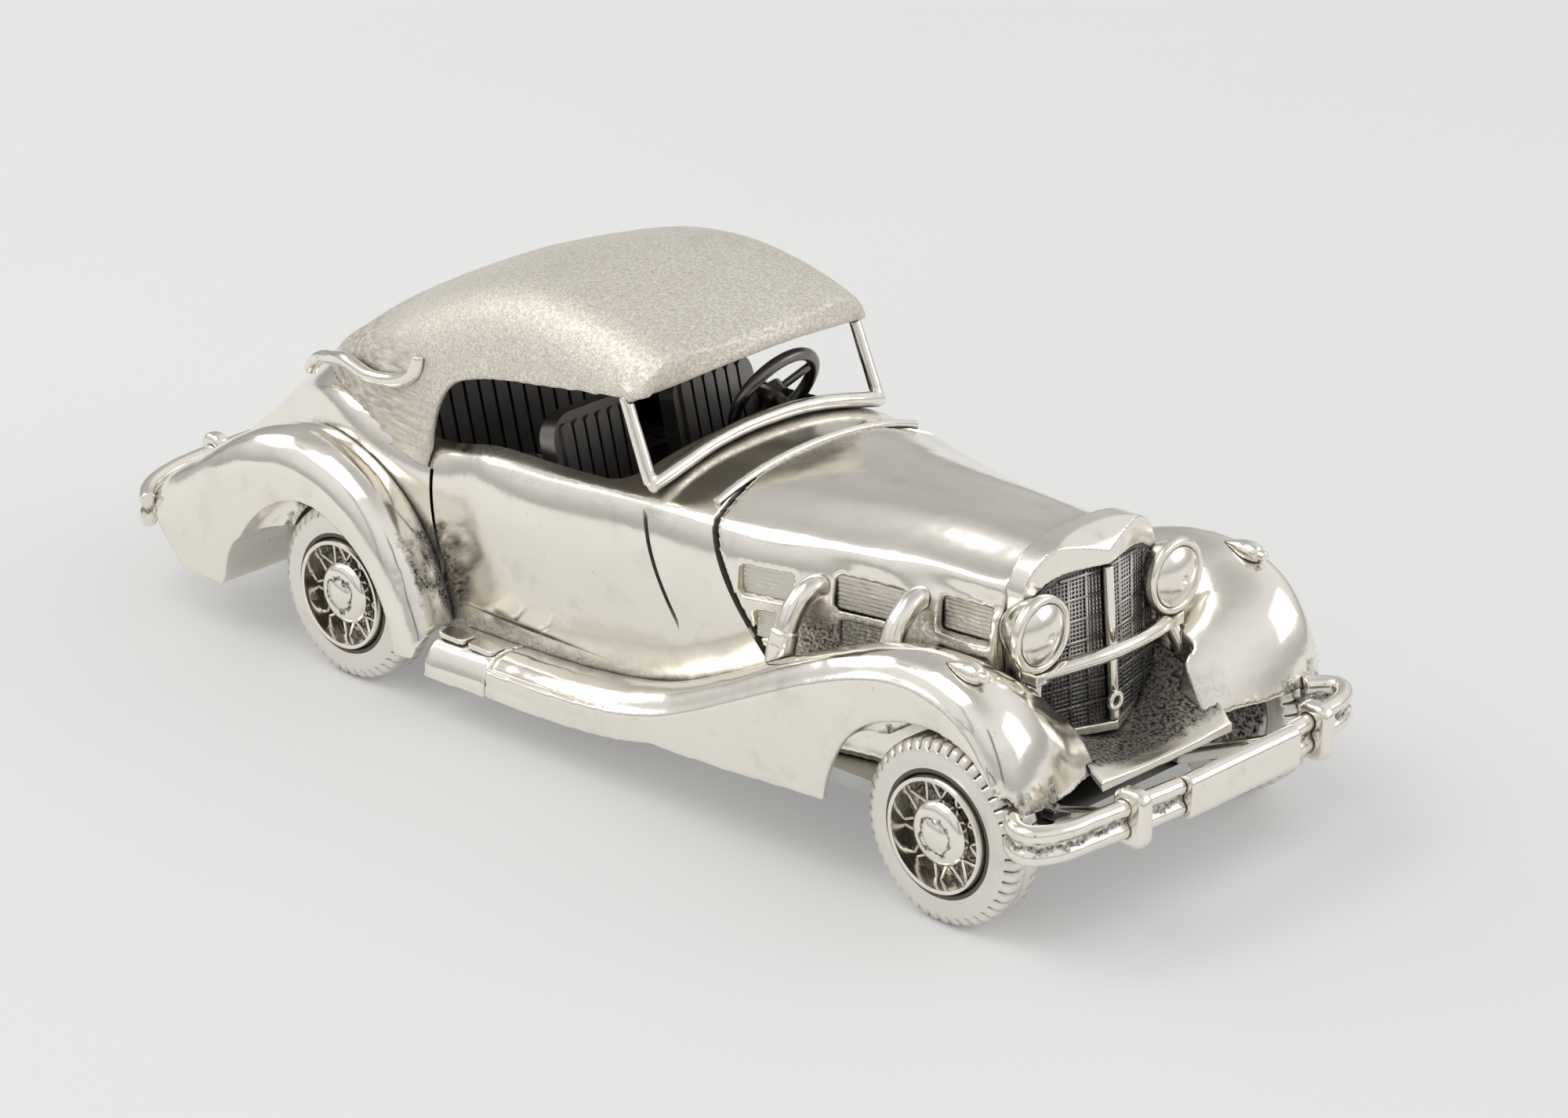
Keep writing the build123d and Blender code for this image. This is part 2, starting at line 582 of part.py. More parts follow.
keep(front_apron, "front_apron")

# ---- Soft top, landau bars and windscreen frame ---------------------------------------------------
with BuildPart() as soft_top:
    add(top_mass.part)
    add(top_hollow.part, mode=Mode.SUBTRACT)
    with BuildSketch(Plane.XZ.offset(-30)):
        with BuildLine():
            window = Spline(*SIDE_WINDOW)
            Polyline(window @ 1, (20, SIDE_WINDOW[-1][1]), (20, SIDE_WINDOW[0][1]), window @ 0)
        make_face()
    extrude(amount=60, mode=Mode.SUBTRACT)
    with BuildSketch(Plane.XY.offset(TOP_BASE_Z - 3)):
        with BuildLine():
            header = ThreePointArc((3.4, -20), (7.4, 0), (3.4, 20))
            Polyline(header @ 1, (20, 20), (20, -20), header @ 0)
        make_face()
    extrude(amount=40, mode=Mode.SUBTRACT)
    with BuildLine() as header_edge:
        Spline((3.3, -15.2, 35.9), (5.9, -8.6, 37.5), (6.9, 0, 38.3), (5.9, 8.6, 37.5), (3.3, 15.2, 35.9))
    with BuildSketch(Plane(header_edge.line @ 0, z_dir=header_edge.line % 0)):
        Circle(0.85)
    sweep(path=header_edge.line)
    add(body_mass.part, mode=Mode.SUBTRACT)
keep(soft_top, "soft_top")

for side_name, side in SIDES.items():
    with BuildPart() as landau_bar:
        with BuildLine() as landau_line:
            Spline(*[(x, side * y, z) for x, y, z in LANDAU_ROUTE])
        with BuildSketch(Plane(landau_line.line @ 0, z_dir=landau_line.line % 0)):
            Circle(0.72)
        sweep(path=landau_line.line)
        add(body_mass.part, mode=Mode.SUBTRACT)
        add(soft_top.part, mode=Mode.SUBTRACT)
    keep(landau_bar, f"landau_bar_{side_name}")

with BuildPart() as windscreen_frame:
    with BuildLine() as sill_line:
        Spline(*WINDSCREEN_SILL)
    with BuildSketch(Plane(sill_line.line @ 0, z_dir=sill_line.line % 0)):
        Circle(0.75)
    sweep(path=sill_line.line)
    for side in SIDES.values():
        with BuildLine() as pillar_line:
            Line((6.5, side * 15.1, 28.2), (3.2, side * 15.0, 35.8))
        with BuildSketch(Plane(pillar_line.line @ 0, z_dir=pillar_line.line % 0)):
            Ellipse(0.62, 0.62)
        sweep(path=pillar_line.line)
    add(body_shell.part, mode=Mode.SUBTRACT)
    add(soft_top.part, mode=Mode.SUBTRACT)
keep(windscreen_frame, "windscreen_frame")

# ---- Lamps ----------------------------------------------------------------------------------------
for side_name, side in SIDES.items():
    with BuildPart() as headlamp:
        with BuildSketch(Plane.XZ.offset(-side * LAMP_Y)):
            with BuildLine():
                bowl = Spline(
                    (LAMP_X - 4.4, LAMP_Z), (LAMP_X - 3.9, LAMP_Z + 1.4), (LAMP_X - 2.6, LAMP_Z + 2.5),
                    (LAMP_X - 0.9, LAMP_Z + 3.2),
                )
                Polyline(
                    bowl @ 1, (LAMP_X - 0.75, LAMP_Z + LAMP_R), (LAMP_X - 0.1, LAMP_Z + LAMP_R),
                    (LAMP_X + 0.15, LAMP_Z + LAMP_R - 0.3), (LAMP_X, LAMP_Z + LENS_R),
                    (LAMP_X - 0.5, LAMP_Z + LENS_R), (LAMP_X - 0.5, LAMP_Z), bowl @ 0,
                )
            make_face()
        revolve(axis=Axis((0, side * LAMP_Y, LAMP_Z), (1, 0, 0)))
        add(radiator_shell.part, mode=Mode.SUBTRACT)
        add(radiator_grille.part, mode=Mode.SUBTRACT)
    keep(headlamp, f"headlamp_{side_name}")
    with BuildPart() as headlamp_lens:
        with BuildSketch(Plane.XZ.offset(-side * LAMP_Y)):
            with BuildLine():
                lens_edge = LAMP_Z + LENS_R - TOUCHING
                dome = Spline((LAMP_X + 0.95, LAMP_Z), (LAMP_X + 0.75, LAMP_Z + 1.4), (LAMP_X, lens_edge))
                Polyline(dome @ 1, (LAMP_X - 0.5, lens_edge), (LAMP_X - 0.5, LAMP_Z), dome @ 0)
            make_face()
        revolve(axis=Axis((0, side * LAMP_Y, LAMP_Z), (1, 0, 0)))
        with BuildSketch(Plane.YZ.offset(LAMP_X + 0.7)):
            with Locations((side * LAMP_Y, LAMP_Z)):
                Circle(0.38)
        extrude(amount=1, mode=Mode.SUBTRACT)
    keep(headlamp_lens, f"headlamp_lens_{side_name}")

with BuildPart() as headlamp_bar:
    with BuildLine() as bar_line:
        bar_ends = [(LAMP_X - 0.6, side * LAMP_Y, BAR_END_Z) for side in SIDES.values()]
        ThreePointArc(bar_ends[0], (BAR_NOSE_X, 0, BAR_MID_Z), bar_ends[1])
    with BuildSketch(Plane(bar_line.line @ 0, z_dir=bar_line.line % 0)):
        Circle(0.68)
    sweep(path=bar_line.line)
    for side in SIDES.values():
        with Locations((LAMP_X - 0.8, side * LAMP_Y, BAR_END_Z + 0.2)):
            Box(1.9, 1.9, 1.9)
    add(radiator_shell.part, mode=Mode.SUBTRACT)
    for side in SIDES.values():
        with BuildSketch(Plane.YZ.offset(LAMP_X - 3.0)):
            with Locations((side * LAMP_Y, LAMP_Z)):
                Circle(LAMP_R + TOUCHING)
        extrude(amount=4.0, mode=Mode.SUBTRACT)
keep(headlamp_bar, "headlamp_bar")

with BuildPart() as headlamp_stays:
    for side in SIDES.values():
        with BuildLine() as stay_line:
            Line(
                (LAMP_X - 0.9, side * (LAMP_Y + 0.2), BAR_END_Z - 0.8),
                (LAMP_X + 0.2, side * (LAMP_Y + 1.6), STAY_FOOT_Z),
            )
        with BuildSketch(Plane(stay_line.line @ 0, z_dir=stay_line.line % 0)):
            Circle(0.75)
        sweep(path=stay_line.line)
    add(front_wing.part, mode=Mode.SUBTRACT)
    add(mirrored(front_wing.part), mode=Mode.SUBTRACT)
    add(front_apron.part, mode=Mode.SUBTRACT)
    add(headlamp_bar.part, mode=Mode.SUBTRACT)
keep(headlamp_stays, "headlamp_stays")

with BuildPart() as marker_lamps:
    for side in SIDES.values():
        with BuildSketch(Plane.XZ.offset(-side * MARKER_Y)):
            with BuildLine():
                drop = Spline(
                    (MARKER_X - 4.6, MARKER_Z), (MARKER_X - 2.2, MARKER_Z + 0.62), (MARKER_X, MARKER_Z + 1.0),
                    (MARKER_X + 0.9, MARKER_Z + 0.75),
                )
                Polyline(
                    drop @ 1, (MARKER_X + 0.9, MARKER_Z + 0.5), (MARKER_X + 1.7, MARKER_Z + 0.5),
                    (MARKER_X + 1.7, MARKER_Z), drop @ 0,
                )
            make_face()
        revolve(axis=Axis((0, side * MARKER_Y, MARKER_Z), (1, 0, 0)))
    add(front_wing.part, mode=Mode.SUBTRACT)
    add(mirrored(front_wing.part), mode=Mode.SUBTRACT)
keep(marker_lamps, "marker_lamps")

# ---- Exhaust pipes on the right side --------------------------------------------------------------
with BuildPart() as exhaust_pipes:
    for route in EXHAUST_ROUTES:
        with BuildLine() as pipe_line:
            Spline(*route)
        with BuildSketch(Plane(pipe_line.line @ 0, z_dir=pipe_line.line % 0)):
            Circle(PIPE_R)
        sweep(path=pipe_line.line)
    for share in (0.66, 0.76, 0.86):
        ring_line = Spline(*EXHAUST_ROUTES[0])
        with BuildSketch(Plane(ring_line @ share, z_dir=ring_line % share)):
            Circle(PIPE_R + 0.2)
        extrude(amount=0.5, both=True)
    add(body_mass.part, mode=Mode.SUBTRACT)
    add(front_wing.part, mode=Mode.SUBTRACT)
keep(exhaust_pipes, "exhaust_pipes")


# ---- Bumpers --------------------------------------------------------------------------------------
def bumper_profile(plane):
    """Two rounded ribs, one above the other, joined by a thinner web."""
    with BuildSketch(plane) as profile:
        with Locations((0, RIB_RISE), (0, -RIB_RISE)):
            Ellipse(0.85, 0.8)
        Rectangle(0.9, 2 * RIB_RISE)
    return profile.sketch


def bumper_bar(route, middle_z):
    """Double-ribbed bar that follows a level route of (x, y) points."""
    with BuildPart() as bar:
        with BuildLine() as bar_route:
            Spline(*[(x, y, middle_z) for x, y in route])
        heading = bar_route.line % 0
        start = Plane(bar_route.line @ 0, x_dir=heading.cross(Vector(0, 0, 1)), z_dir=heading)
        sweep(bumper_profile(start), path=bar_route.line)
    return bar.part


with BuildPart() as front_bumper_plate:
    with Locations((62.6, 1.0, FRONT_BUMPER_Z)):
        Box(1.9, 14.8, 4.1)
    fillet(front_bumper_plate.edges().filter_by(Axis.Y), 0.9)
keep(front_bumper_plate, "front_bumper_plate")

# The bar comes in two halves that butt against the plate's ends.
with BuildPart() as front_bumper:
    add(bumper_bar(FRONT_BUMPER_ROUTE, FRONT_BUMPER_Z))
    with Locations((62.0, 1.0, FRONT_BUMPER_Z)):
        Box(6.0, 14.8 + 2 * TOUCHING, 6.0, mode=Mode.SUBTRACT)
    add(front_wing.part, mode=Mode.SUBTRACT)
    add(mirrored(front_wing.part), mode=Mode.SUBTRACT)
keep(front_bumper, "front_bumper")

with BuildPart() as rear_bumper:
    add(bumper_bar(REAR_BUMPER_ROUTE, REAR_BUMPER_Z))
    for side in SIDES.values():
        add(rear_wing.part if side < 0 else mirrored(rear_wing.part), mode=Mode.SUBTRACT)
keep(rear_bumper, "rear_bumper")

with BuildPart() as front_overriders:
    for side in SIDES.values():
        with Locations((61.9, side * 12.4, FRONT_BUMPER_Z)):
            Box(3.6, 1.7, 5.4)
    fillet(front_overriders.edges().filter_by(Axis.Y), 1.3)
    fillet(front_overriders.edges().filter_by(Axis.X), 0.6)
    add(front_bumper.part, mode=Mode.SUBTRACT)
keep(front_overriders, "front_overriders")

with BuildPart() as rear_overriders:
    for side in SIDES.values():
        with Locations((-62.3, side * 8.4, REAR_BUMPER_Z + 0.2)):
            Box(3.0, 1.7, 5.2)
    fillet(rear_overriders.edges().filter_by(Axis.Y), 1.3)
    fillet(rear_overriders.edges().filter_by(Axis.X), 0.6)
    add(rear_bumper.part, mode=Mode.SUBTRACT)
keep(rear_overriders, "rear_overriders")

with BuildPart() as front_bumper_irons:
    for side in SIDES.values():
        iron_sections = []
        for x, y, z in IRON_ROUTE:
            with BuildSketch(Plane.YZ.offset(x)) as iron_section:
                with Locations((side * y, z)):
                    RectangleRounded(IRON_WIDTH, IRON_WIDTH, 0.5)
            iron_sections.append(iron_section.sketch)
        loft(sections=iron_sections, ruled=True)
    add(front_bumper.part, mode=Mode.SUBTRACT)
    add(front_overriders.part, mode=Mode.SUBTRACT)
keep(front_bumper_irons, "front_bumper_irons")

with BuildPart() as rear_bumper_irons:
    for side in SIDES.values():
        with Locations((-60.0, side * 6.0, REAR_BUMPER_Z - 1.2)):
            Box(4.4, 1.4, 1.6)
    add(body_mass.part, mode=Mode.SUBTRACT)
    add(rear_bumper.part, mode=Mode.SUBTRACT)
    add(rear_overriders.part, mode=Mode.SUBTRACT)
keep(rear_bumper_irons, "rear_bumper_irons")

# ---- Base plate with the axle bearings, and its screws --------------------------------------------
with BuildPart() as base_plate:
    with BuildSketch(Plane.XY.offset(FLOOR_Z - BASE_THICKNESS)):
        Polygon(*BASE_OUTLINE, align=None)
        with Locations(*SCREW_PLACES):
            Circle(SCREW_R + 0.1, mode=Mode.SUBTRACT)
    extrude(amount=BASE_THICKNESS)
    for axle_x in (FRONT_AXLE_X, REAR_AXLE_X):
        for lug_y in (-BEARING_Y, BEARING_Y):
            with Locations((axle_x, lug_y, (FLOOR_Z + BEARING_TOP_Z) / 2)):
                Box(4.4, 2.2, BEARING_TOP_Z - FLOOR_Z)
    for axle_x in (FRONT_AXLE_X, REAR_AXLE_X):
        with BuildSketch(Plane.XZ.offset(-20)):
            with Locations((axle_x, TYRE_R)):
                Circle(AXLE_R + AXLE_CLEARANCE)
        extrude(amount=40, mode=Mode.SUBTRACT)
    with BuildSketch(Plane.XY.offset(FLOOR_Z - BASE_THICKNESS)):
        with Locations(*PLINTH_PLACES):
            Circle(PLINTH_HOLE_R)
    extrude(amount=BASE_THICKNESS, mode=Mode.SUBTRACT)
    with BuildSketch(Plane.XY.offset(FLOOR_Z - BASE_THICKNESS)):
        with Locations(*SCREW_PLACES):
            Circle(SCREW_HEAD_R + 0.1)
    extrude(amount=SCREW_HEAD_DEPTH, mode=Mode.SUBTRACT)
    for wing in (front_wing, rear_wing):
        add(wing.part, mode=Mode.SUBTRACT)
        add(mirrored(wing.part), mode=Mode.SUBTRACT)
keep(base_plate, "base_plate")

with BuildPart() as base_screws:
    with BuildSketch(Plane.XY.offset(FLOOR_Z - BASE_THICKNESS)):
        with Locations(*SCREW_PLACES):
            Circle(SCREW_HEAD_R)
    extrude(amount=SCREW_HEAD_DEPTH)
    with BuildSketch(Plane.XY.offset(FLOOR_Z - BASE_THICKNESS)):
        with Locations(*SCREW_PLACES):
            Circle(SCREW_R)
    extrude(amount=BASE_THICKNESS)
    with BuildSketch(Plane.XY.offset(FLOOR_Z - BASE_THICKNESS)):
        with Locations(*SCREW_PLACES):
            Rectangle(2 * SCREW_HEAD_R, 0.35)
    extrude(amount=SCREW_HEAD_DEPTH / 2, mode=Mode.SUBTRACT)
keep(base_screws, "base_screws")

# ---- Interior -------------------------------------------------------------------------------------
with BuildPart() as interior_floor:
    with BuildSketch(Plane.XY.offset(CABIN_FLOOR_Z)):
        with Locations((-13.0, 0)):
            Rectangle(42.0, 28.4)
    extrude(amount=0.9)
    with Locations((-9.0, 0, CABIN_FLOOR_Z + 1.8)):
        Box(30.0, 4.4, 2.2)
    add(body_shell.part, mode=Mode.SUBTRACT)
keep(interior_floor, "interior_floor")


def pleated_pad(plane, width, height, pleats, depth):
    """Upholstered pad with a row of raised pleats, standing on its plane."""
    with BuildPart() as pad:
        with BuildSketch(plane):
            RectangleRounded(width, height, min(width, height) * 0.24)
        extrude(amount=depth)
        pitch = (width - 1.6) / pleats
        for index in range(pleats):
            with BuildSketch(plane.offset(depth)):
                with Locations(((index - (pleats - 1) / 2) * pitch, 0)):
                    SlotOverall(height - 1.8, pitch * 0.8, rotation=90)
            extrude(amount=0.35)
    return pad.part


FLOOR_TOP_Z = CABIN_FLOOR_Z + 0.9
for side_name, side in SIDES.items():
    with BuildPart() as front_seat:
        with Locations((SEAT_X + 4.4, side * SEAT_Y, FLOOR_TOP_Z + 2.2)):
            Box(9.0, 9.6, 4.4)
        cushion_plane = Plane(
            (SEAT_X + 4.4, side * SEAT_Y, FLOOR_TOP_Z + 4.4), x_dir=(0, 1, 0), z_dir=(0, 0, 1)
        )
        add(pleated_pad(cushion_plane, 10.4, 9.4, 6, 1.6))
        lean = radians(SEAT_LEAN)
        back_middle = (SEAT_X - 2.2, side * SEAT_Y, SEAT_TOP_Z - 7.2)
        back_plane = Plane(back_middle, x_dir=(0, 1, 0), z_dir=(cos(lean), 0, sin(lean)))
        add(pleated_pad(back_plane, 10.8, 14.6, 6, 2.0))
    keep(front_seat, f"front_seat_{side_name}")

with BuildPart() as rear_bench:
    with Locations((BENCH_X + 4.0, 0, FLOOR_TOP_Z + 2.6)):
        Box(8.0, 27.0, 5.2)
    bench_cushion = Plane((BENCH_X + 4.0, 0, FLOOR_TOP_Z + 5.2), x_dir=(0, 1, 0), z_dir=(0, 0, 1))
    add(pleated_pad(bench_cushion, 27.4, 8.4, 14, 1.6))
    lean = radians(SEAT_LEAN)
    bench_back = Plane((BENCH_X - 1.6, 0, BENCH_TOP_Z - 8.6), x_dir=(0, 1, 0), z_dir=(cos(lean), 0, sin(lean)))
    add(pleated_pad(bench_back, 27.4, 17.4, 14, 1.8))
    add(body_shell.part, mode=Mode.SUBTRACT)
    add(interior_floor.part, mode=Mode.SUBTRACT)
keep(rear_bench, "rear_bench")

with BuildPart() as dashboard:
    with BuildSketch(Plane.YZ.offset(DASH_X)):
        Polygon(
            (-13.8, FLOOR_TOP_Z + 4), (13.8, FLOOR_TOP_Z + 4), (14.0, 24.6), (9.0, 26.6), (0, 27.4), (-9.0, 26.6),
            (-14.0, 24.6), align=None,
        )
    extrude(amount=1.4)
    with BuildSketch(Plane.YZ.offset(DASH_X)):
        with Locations((4.6, 24.4), (9.4, 24.2), (0, 24.6)):
            Circle(1.1)
    extrude(amount=-0.3)
    add(body_shell.part, mode=Mode.SUBTRACT)
keep(dashboard, "dashboard")

column_lean = radians(COLUMN_LEAN)
column_dir = Vector(-cos(column_lean), 0, sin(column_lean))
wheel_centre = Vector(*STEERING_CENTRE)
with BuildPart() as steering_column:
    with BuildSketch(Plane(wheel_centre - column_dir * 8.2, z_dir=column_dir)):
        Circle(0.55)
    extrude(amount=7.4)
    add(dashboard.part, mode=Mode.SUBTRACT)
    add(body_shell.part, mode=Mode.SUBTRACT)
keep(steering_column, "steering_column")

with BuildPart() as steering_wheel:
    wheel_plane = Plane(wheel_centre, x_dir=(0, 1, 0), z_dir=column_dir)
    rim_start = Plane(
        wheel_centre + wheel_plane.x_dir * STEERING_R, x_dir=wheel_plane.x_dir, z_dir=wheel_plane.y_dir
    )
    with BuildSketch(rim_start):
        Circle(0.62)
    revolve(axis=Axis(wheel_centre, column_dir))
    for angle in (90, 210, 330):
        spoke_dir = wheel_plane.x_dir * cos(radians(angle)) + wheel_plane.y_dir * sin(radians(angle))
        with BuildSketch(Plane(wheel_centre + spoke_dir * 0.6, x_dir=column_dir, z_dir=spoke_dir)):
            RectangleRounded(0.6, 0.9, 0.25)
        extrude(amount=STEERING_R - 0.8)
    with BuildSketch(wheel_plane.offset(-0.8)):
        Circle(1.25)
    extrude(amount=1.4)
keep(steering_wheel, "steering_wheel")

# ---- Wheel sets -----------------------------------------------------------------------------------
def wheel_profile_plane(axle_x):
    """Plane through the axle for profiles that are turned about it: local x along Y, local y up."""
    return Plane((axle_x, 0, TYRE_R), x_dir=(0, 1, 0), z_dir=(1, 0, 0))


for axle_name, axle_x in (("front", FRONT_AXLE_X), ("rear", REAR_AXLE_X)):
    turning = Axis((axle_x, 0, TYRE_R), (0, 1, 0))
    with BuildPart() as axle:
        with BuildSketch(Plane.XZ.offset(-18.2)):
            with Locations((axle_x, TYRE_R)):
                Circle(AXLE_R)
        extrude(amount=36.4)
    keep(axle, f"{axle_name}_axle")
    for side_name, side in SIDES.items():
        inner_y = side * (TYRE_FACE_Y - TYRE_WIDTH)
        outer_y = side * TYRE_FACE_Y
        with BuildPart() as tyre:
            with BuildSketch(wheel_profile_plane(axle_x)):
                with Locations((side * (TYRE_FACE_Y - TYRE_WIDTH / 2), (TYRE_R + RIM_R) / 2)):
                    RectangleRounded(TYRE_WIDTH, TYRE_R - RIM_R, 1.2)
            revolve(axis=turning)
        keep(tyre, f"tyre_{axle_name}_{side_name}")
        with BuildPart() as rim:
            with BuildSketch(wheel_profile_plane(axle_x)):
                with BuildLine():
                    Polyline(
                        (inner_y + side * 0.6, RIM_R), (inner_y + side * 0.6, 4.9), (side * 18.0, 4.6),
                        (side * 18.0, 1.9), (side * 17.4, 1.9), (side * 17.4, AXLE_R), (side * 19.6, AXLE_R),
                        (side * 19.6, 2.4), (side * 18.7, 2.5), (side * 18.7, 4.75), (outer_y - side * 0.5, 4.95),
                        (outer_y + side * 0.4, 5.0), (outer_y + side * 0.45, 5.35), (outer_y, RIM_R), close=True,
                    )
                make_face()
            revolve(axis=turning)
        keep(rim, f"rim_{axle_name}_{side_name}")
        with BuildPart() as hubcap:
            with BuildSketch(wheel_profile_plane(axle_x)):
                with BuildLine():
                    cap = Spline((side * 21.9, 0), (side * 21.75, 1.1), (side * 21.5, 1.5))
                    rest = Polyline((side * 21.5, 1.5), (side * 21.5, 1.9))
                    flange = Spline(rest @ 1, (side * 21.3, 2.6), (side * 20.9, HUBCAP_R))
                    Polyline(
                        flange @ 1, (side * 20.4, HUBCAP_R), (side * 20.4, 2.0), (side * 19.6, 2.0),
                        (side * 19.6, 0), cap @ 0,
                    )
                make_face()
            revolve(axis=turning)
        keep(hubcap, f"hubcap_{axle_name}_{side_name}")
    with BuildPart() as spokes:
        for side in SIDES.values():
            for index in range(SPOKE_COUNT):
                turn = 2 * pi * index / SPOKE_COUNT
                swing = SPOKE_SWING if index % 2 else -SPOKE_SWING
                foot = Vector(axle_x + 2.3 * cos(turn), side * 20.1, TYRE_R + 2.3 * sin(turn))
                tip = Vector(axle_x + 4.9 * cos(turn + swing), side * 19.9, TYRE_R + 4.9 * sin(turn + swing))
                run = tip - foot
                with BuildSketch(Plane(foot, z_dir=run)):
                    Circle(0.15)
                extrude(amount=run.length)
    keep(spokes, f"{axle_name}_spokes")
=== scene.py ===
"""Looks for the cast collector car: polished silver-like metal, darkened in its recesses."""
import math

import bmesh
import bpy
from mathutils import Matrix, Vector, noise


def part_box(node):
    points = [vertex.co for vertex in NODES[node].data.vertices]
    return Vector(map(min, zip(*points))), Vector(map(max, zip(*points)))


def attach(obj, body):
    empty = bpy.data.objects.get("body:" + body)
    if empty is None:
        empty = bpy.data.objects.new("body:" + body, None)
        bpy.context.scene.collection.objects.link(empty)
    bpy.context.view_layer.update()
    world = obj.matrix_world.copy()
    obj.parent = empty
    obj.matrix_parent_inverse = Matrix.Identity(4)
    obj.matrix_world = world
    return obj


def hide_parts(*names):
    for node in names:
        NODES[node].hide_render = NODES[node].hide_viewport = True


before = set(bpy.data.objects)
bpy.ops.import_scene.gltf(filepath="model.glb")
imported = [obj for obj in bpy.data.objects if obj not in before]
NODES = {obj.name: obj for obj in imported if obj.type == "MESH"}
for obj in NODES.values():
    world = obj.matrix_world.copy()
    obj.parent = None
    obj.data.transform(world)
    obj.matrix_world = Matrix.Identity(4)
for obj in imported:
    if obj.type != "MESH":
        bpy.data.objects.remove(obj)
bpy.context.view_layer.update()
MM = 0.001

# ---- Camera, light and floor ----------------------------------------------------------------------
CAMERA_AZIMUTH = math.radians(43.8)
CAMERA_ELEVATION = math.radians(22.75)
CAMERA_TARGET = Vector((8.7, 0.0, 16.9)) * MM
CAMERA_DISTANCE = 507 * MM
LENS_MM = 125.44
FLOOR_GLOW = 0.22  # light that comes up through the table, which keeps the shadow pale


def direction(azimuth, elevation):
    """Unit vector from the object towards a viewer; azimuth 0 is the car's right side."""
    flat = math.cos(elevation)
    return Vector((math.sin(azimuth) * flat, -math.cos(azimuth) * flat, math.sin(elevation)))


def make_camera():
    back = direction(CAMERA_AZIMUTH, CAMERA_ELEVATION)
    camera = bpy.data.objects.new("camera", bpy.data.cameras.new("camera"))
    camera.data.lens = LENS_MM
    camera.data.sensor_width = 36
    camera.data.sensor_fit = "HORIZONTAL"
    camera.data.clip_start = 0.01
    camera.data.clip_end = 20
    camera.location = CAMERA_TARGET + back * CAMERA_DISTANCE
    camera.rotation_euler = (-back).to_track_quat("-Z", "Y").to_euler()
    bpy.context.scene.collection.objects.link(camera)
    bpy.context.scene.camera = camera


def area_light(name, azimuth, elevation, distance, size, energy, colour=(1, 1, 1)):
    light = bpy.data.lights.new(name, "AREA")
    light.shape = "RECTANGLE"
    light.size, light.size_y = size
    light.energy = energy
    light.color = colour
    obj = bpy.data.objects.new(name, light)
    towards = direction(math.radians(azimuth), math.radians(elevation))
    obj.location = towards * distance
    obj.rotation_euler = towards.to_track_quat("Z", "Y").to_euler()
    bpy.context.scene.collection.objects.link(obj)


class Graph:
    """Short way to add and join shader nodes."""

    def __init__(self, tree):
        self.tree = tree

    def node(self, kind, **values):
        made = self.tree.nodes.new(kind)
        for key, value in values.items():
            if isinstance(value, tuple) and key.startswith("in_"):
                made.inputs[int(key[3:])].default_value = value
            elif key.startswith("in_"):
                made.inputs[int(key[3:])].default_value = value
            else:
                setattr(made, key, value)
        return made

    def join(self, output, target):
        self.tree.links.new(output, target)

    def math(self, operation, a, b=None, clamp=False):
        made = self.node("ShaderNodeMath", operation=operation, use_clamp=clamp)
        for index, value in enumerate((a, b)):
            if value is None:
                continue
            if isinstance(value, (int, float)):
                made.inputs[index].default_value = value
            else:
                self.join(value, made.inputs[index])
        return made.outputs[0]

    def ramp(self, value, stops, smooth=False):
        made = self.node("ShaderNodeValToRGB")
        made.color_ramp.interpolation = "EASE" if smooth else "LINEAR"
        elements = made.color_ramp.elements
        elements[0].position, elements[0].color = stops[0][0], grey(stops[0][1])
        elements[1].position, elements[1].color = stops[-1][0], grey(stops[-1][1])
        for place, colour in stops[1:-1]:
            elements.new(place).color = grey(colour)
        self.join(value, made.inputs[0])
        return made.outputs[0]

    def mix(self, share, a, b, blend="MIX"):
        made = self.node("ShaderNodeMix", data_type="RGBA", blend_type=blend)
        for socket, value in ((made.inputs[0], share), (made.inputs[6], a), (made.inputs[7], b)):
            if not isinstance(value, (int, float, tuple)):
                self.join(value, socket)
            elif socket == made.inputs[0]:
                socket.default_value = value
            else:
                socket.default_value = grey(value)
        return made.outputs[2]

    def noise(self, place, scale, detail=3.0, rough=0.5, kind="ShaderNodeTexNoise"):
        made = self.node(kind)
        made.inputs["Scale"].default_value = scale
        if "Detail" in made.inputs:
            made.inputs["Detail"].default_value = detail
        if "Roughness" in made.inputs:
            made.inputs["Roughness"].default_value = rough
        self.join(place, made.inputs["Vector"])
        return made.outputs[0]

    def band(self, value, low, high, soft):
        """1 where value is between low and high, fading over soft at both ends."""
        rise = self.math("MULTIPLY", self.math("SUBTRACT", value, low), 1 / soft, clamp=True)
        fall = self.math("MULTIPLY", self.math("SUBTRACT", high, value), 1 / soft, clamp=True)
        return self.math("MULTIPLY", rise, fall)


def grey(colour):
    """Colour as red, green, blue and alpha, from a number or three of them."""
    if isinstance(colour, (int, float)):
        return (colour, colour, colour, 1)
    return tuple(colour) if len(colour) == 4 else tuple(colour) + (1,)


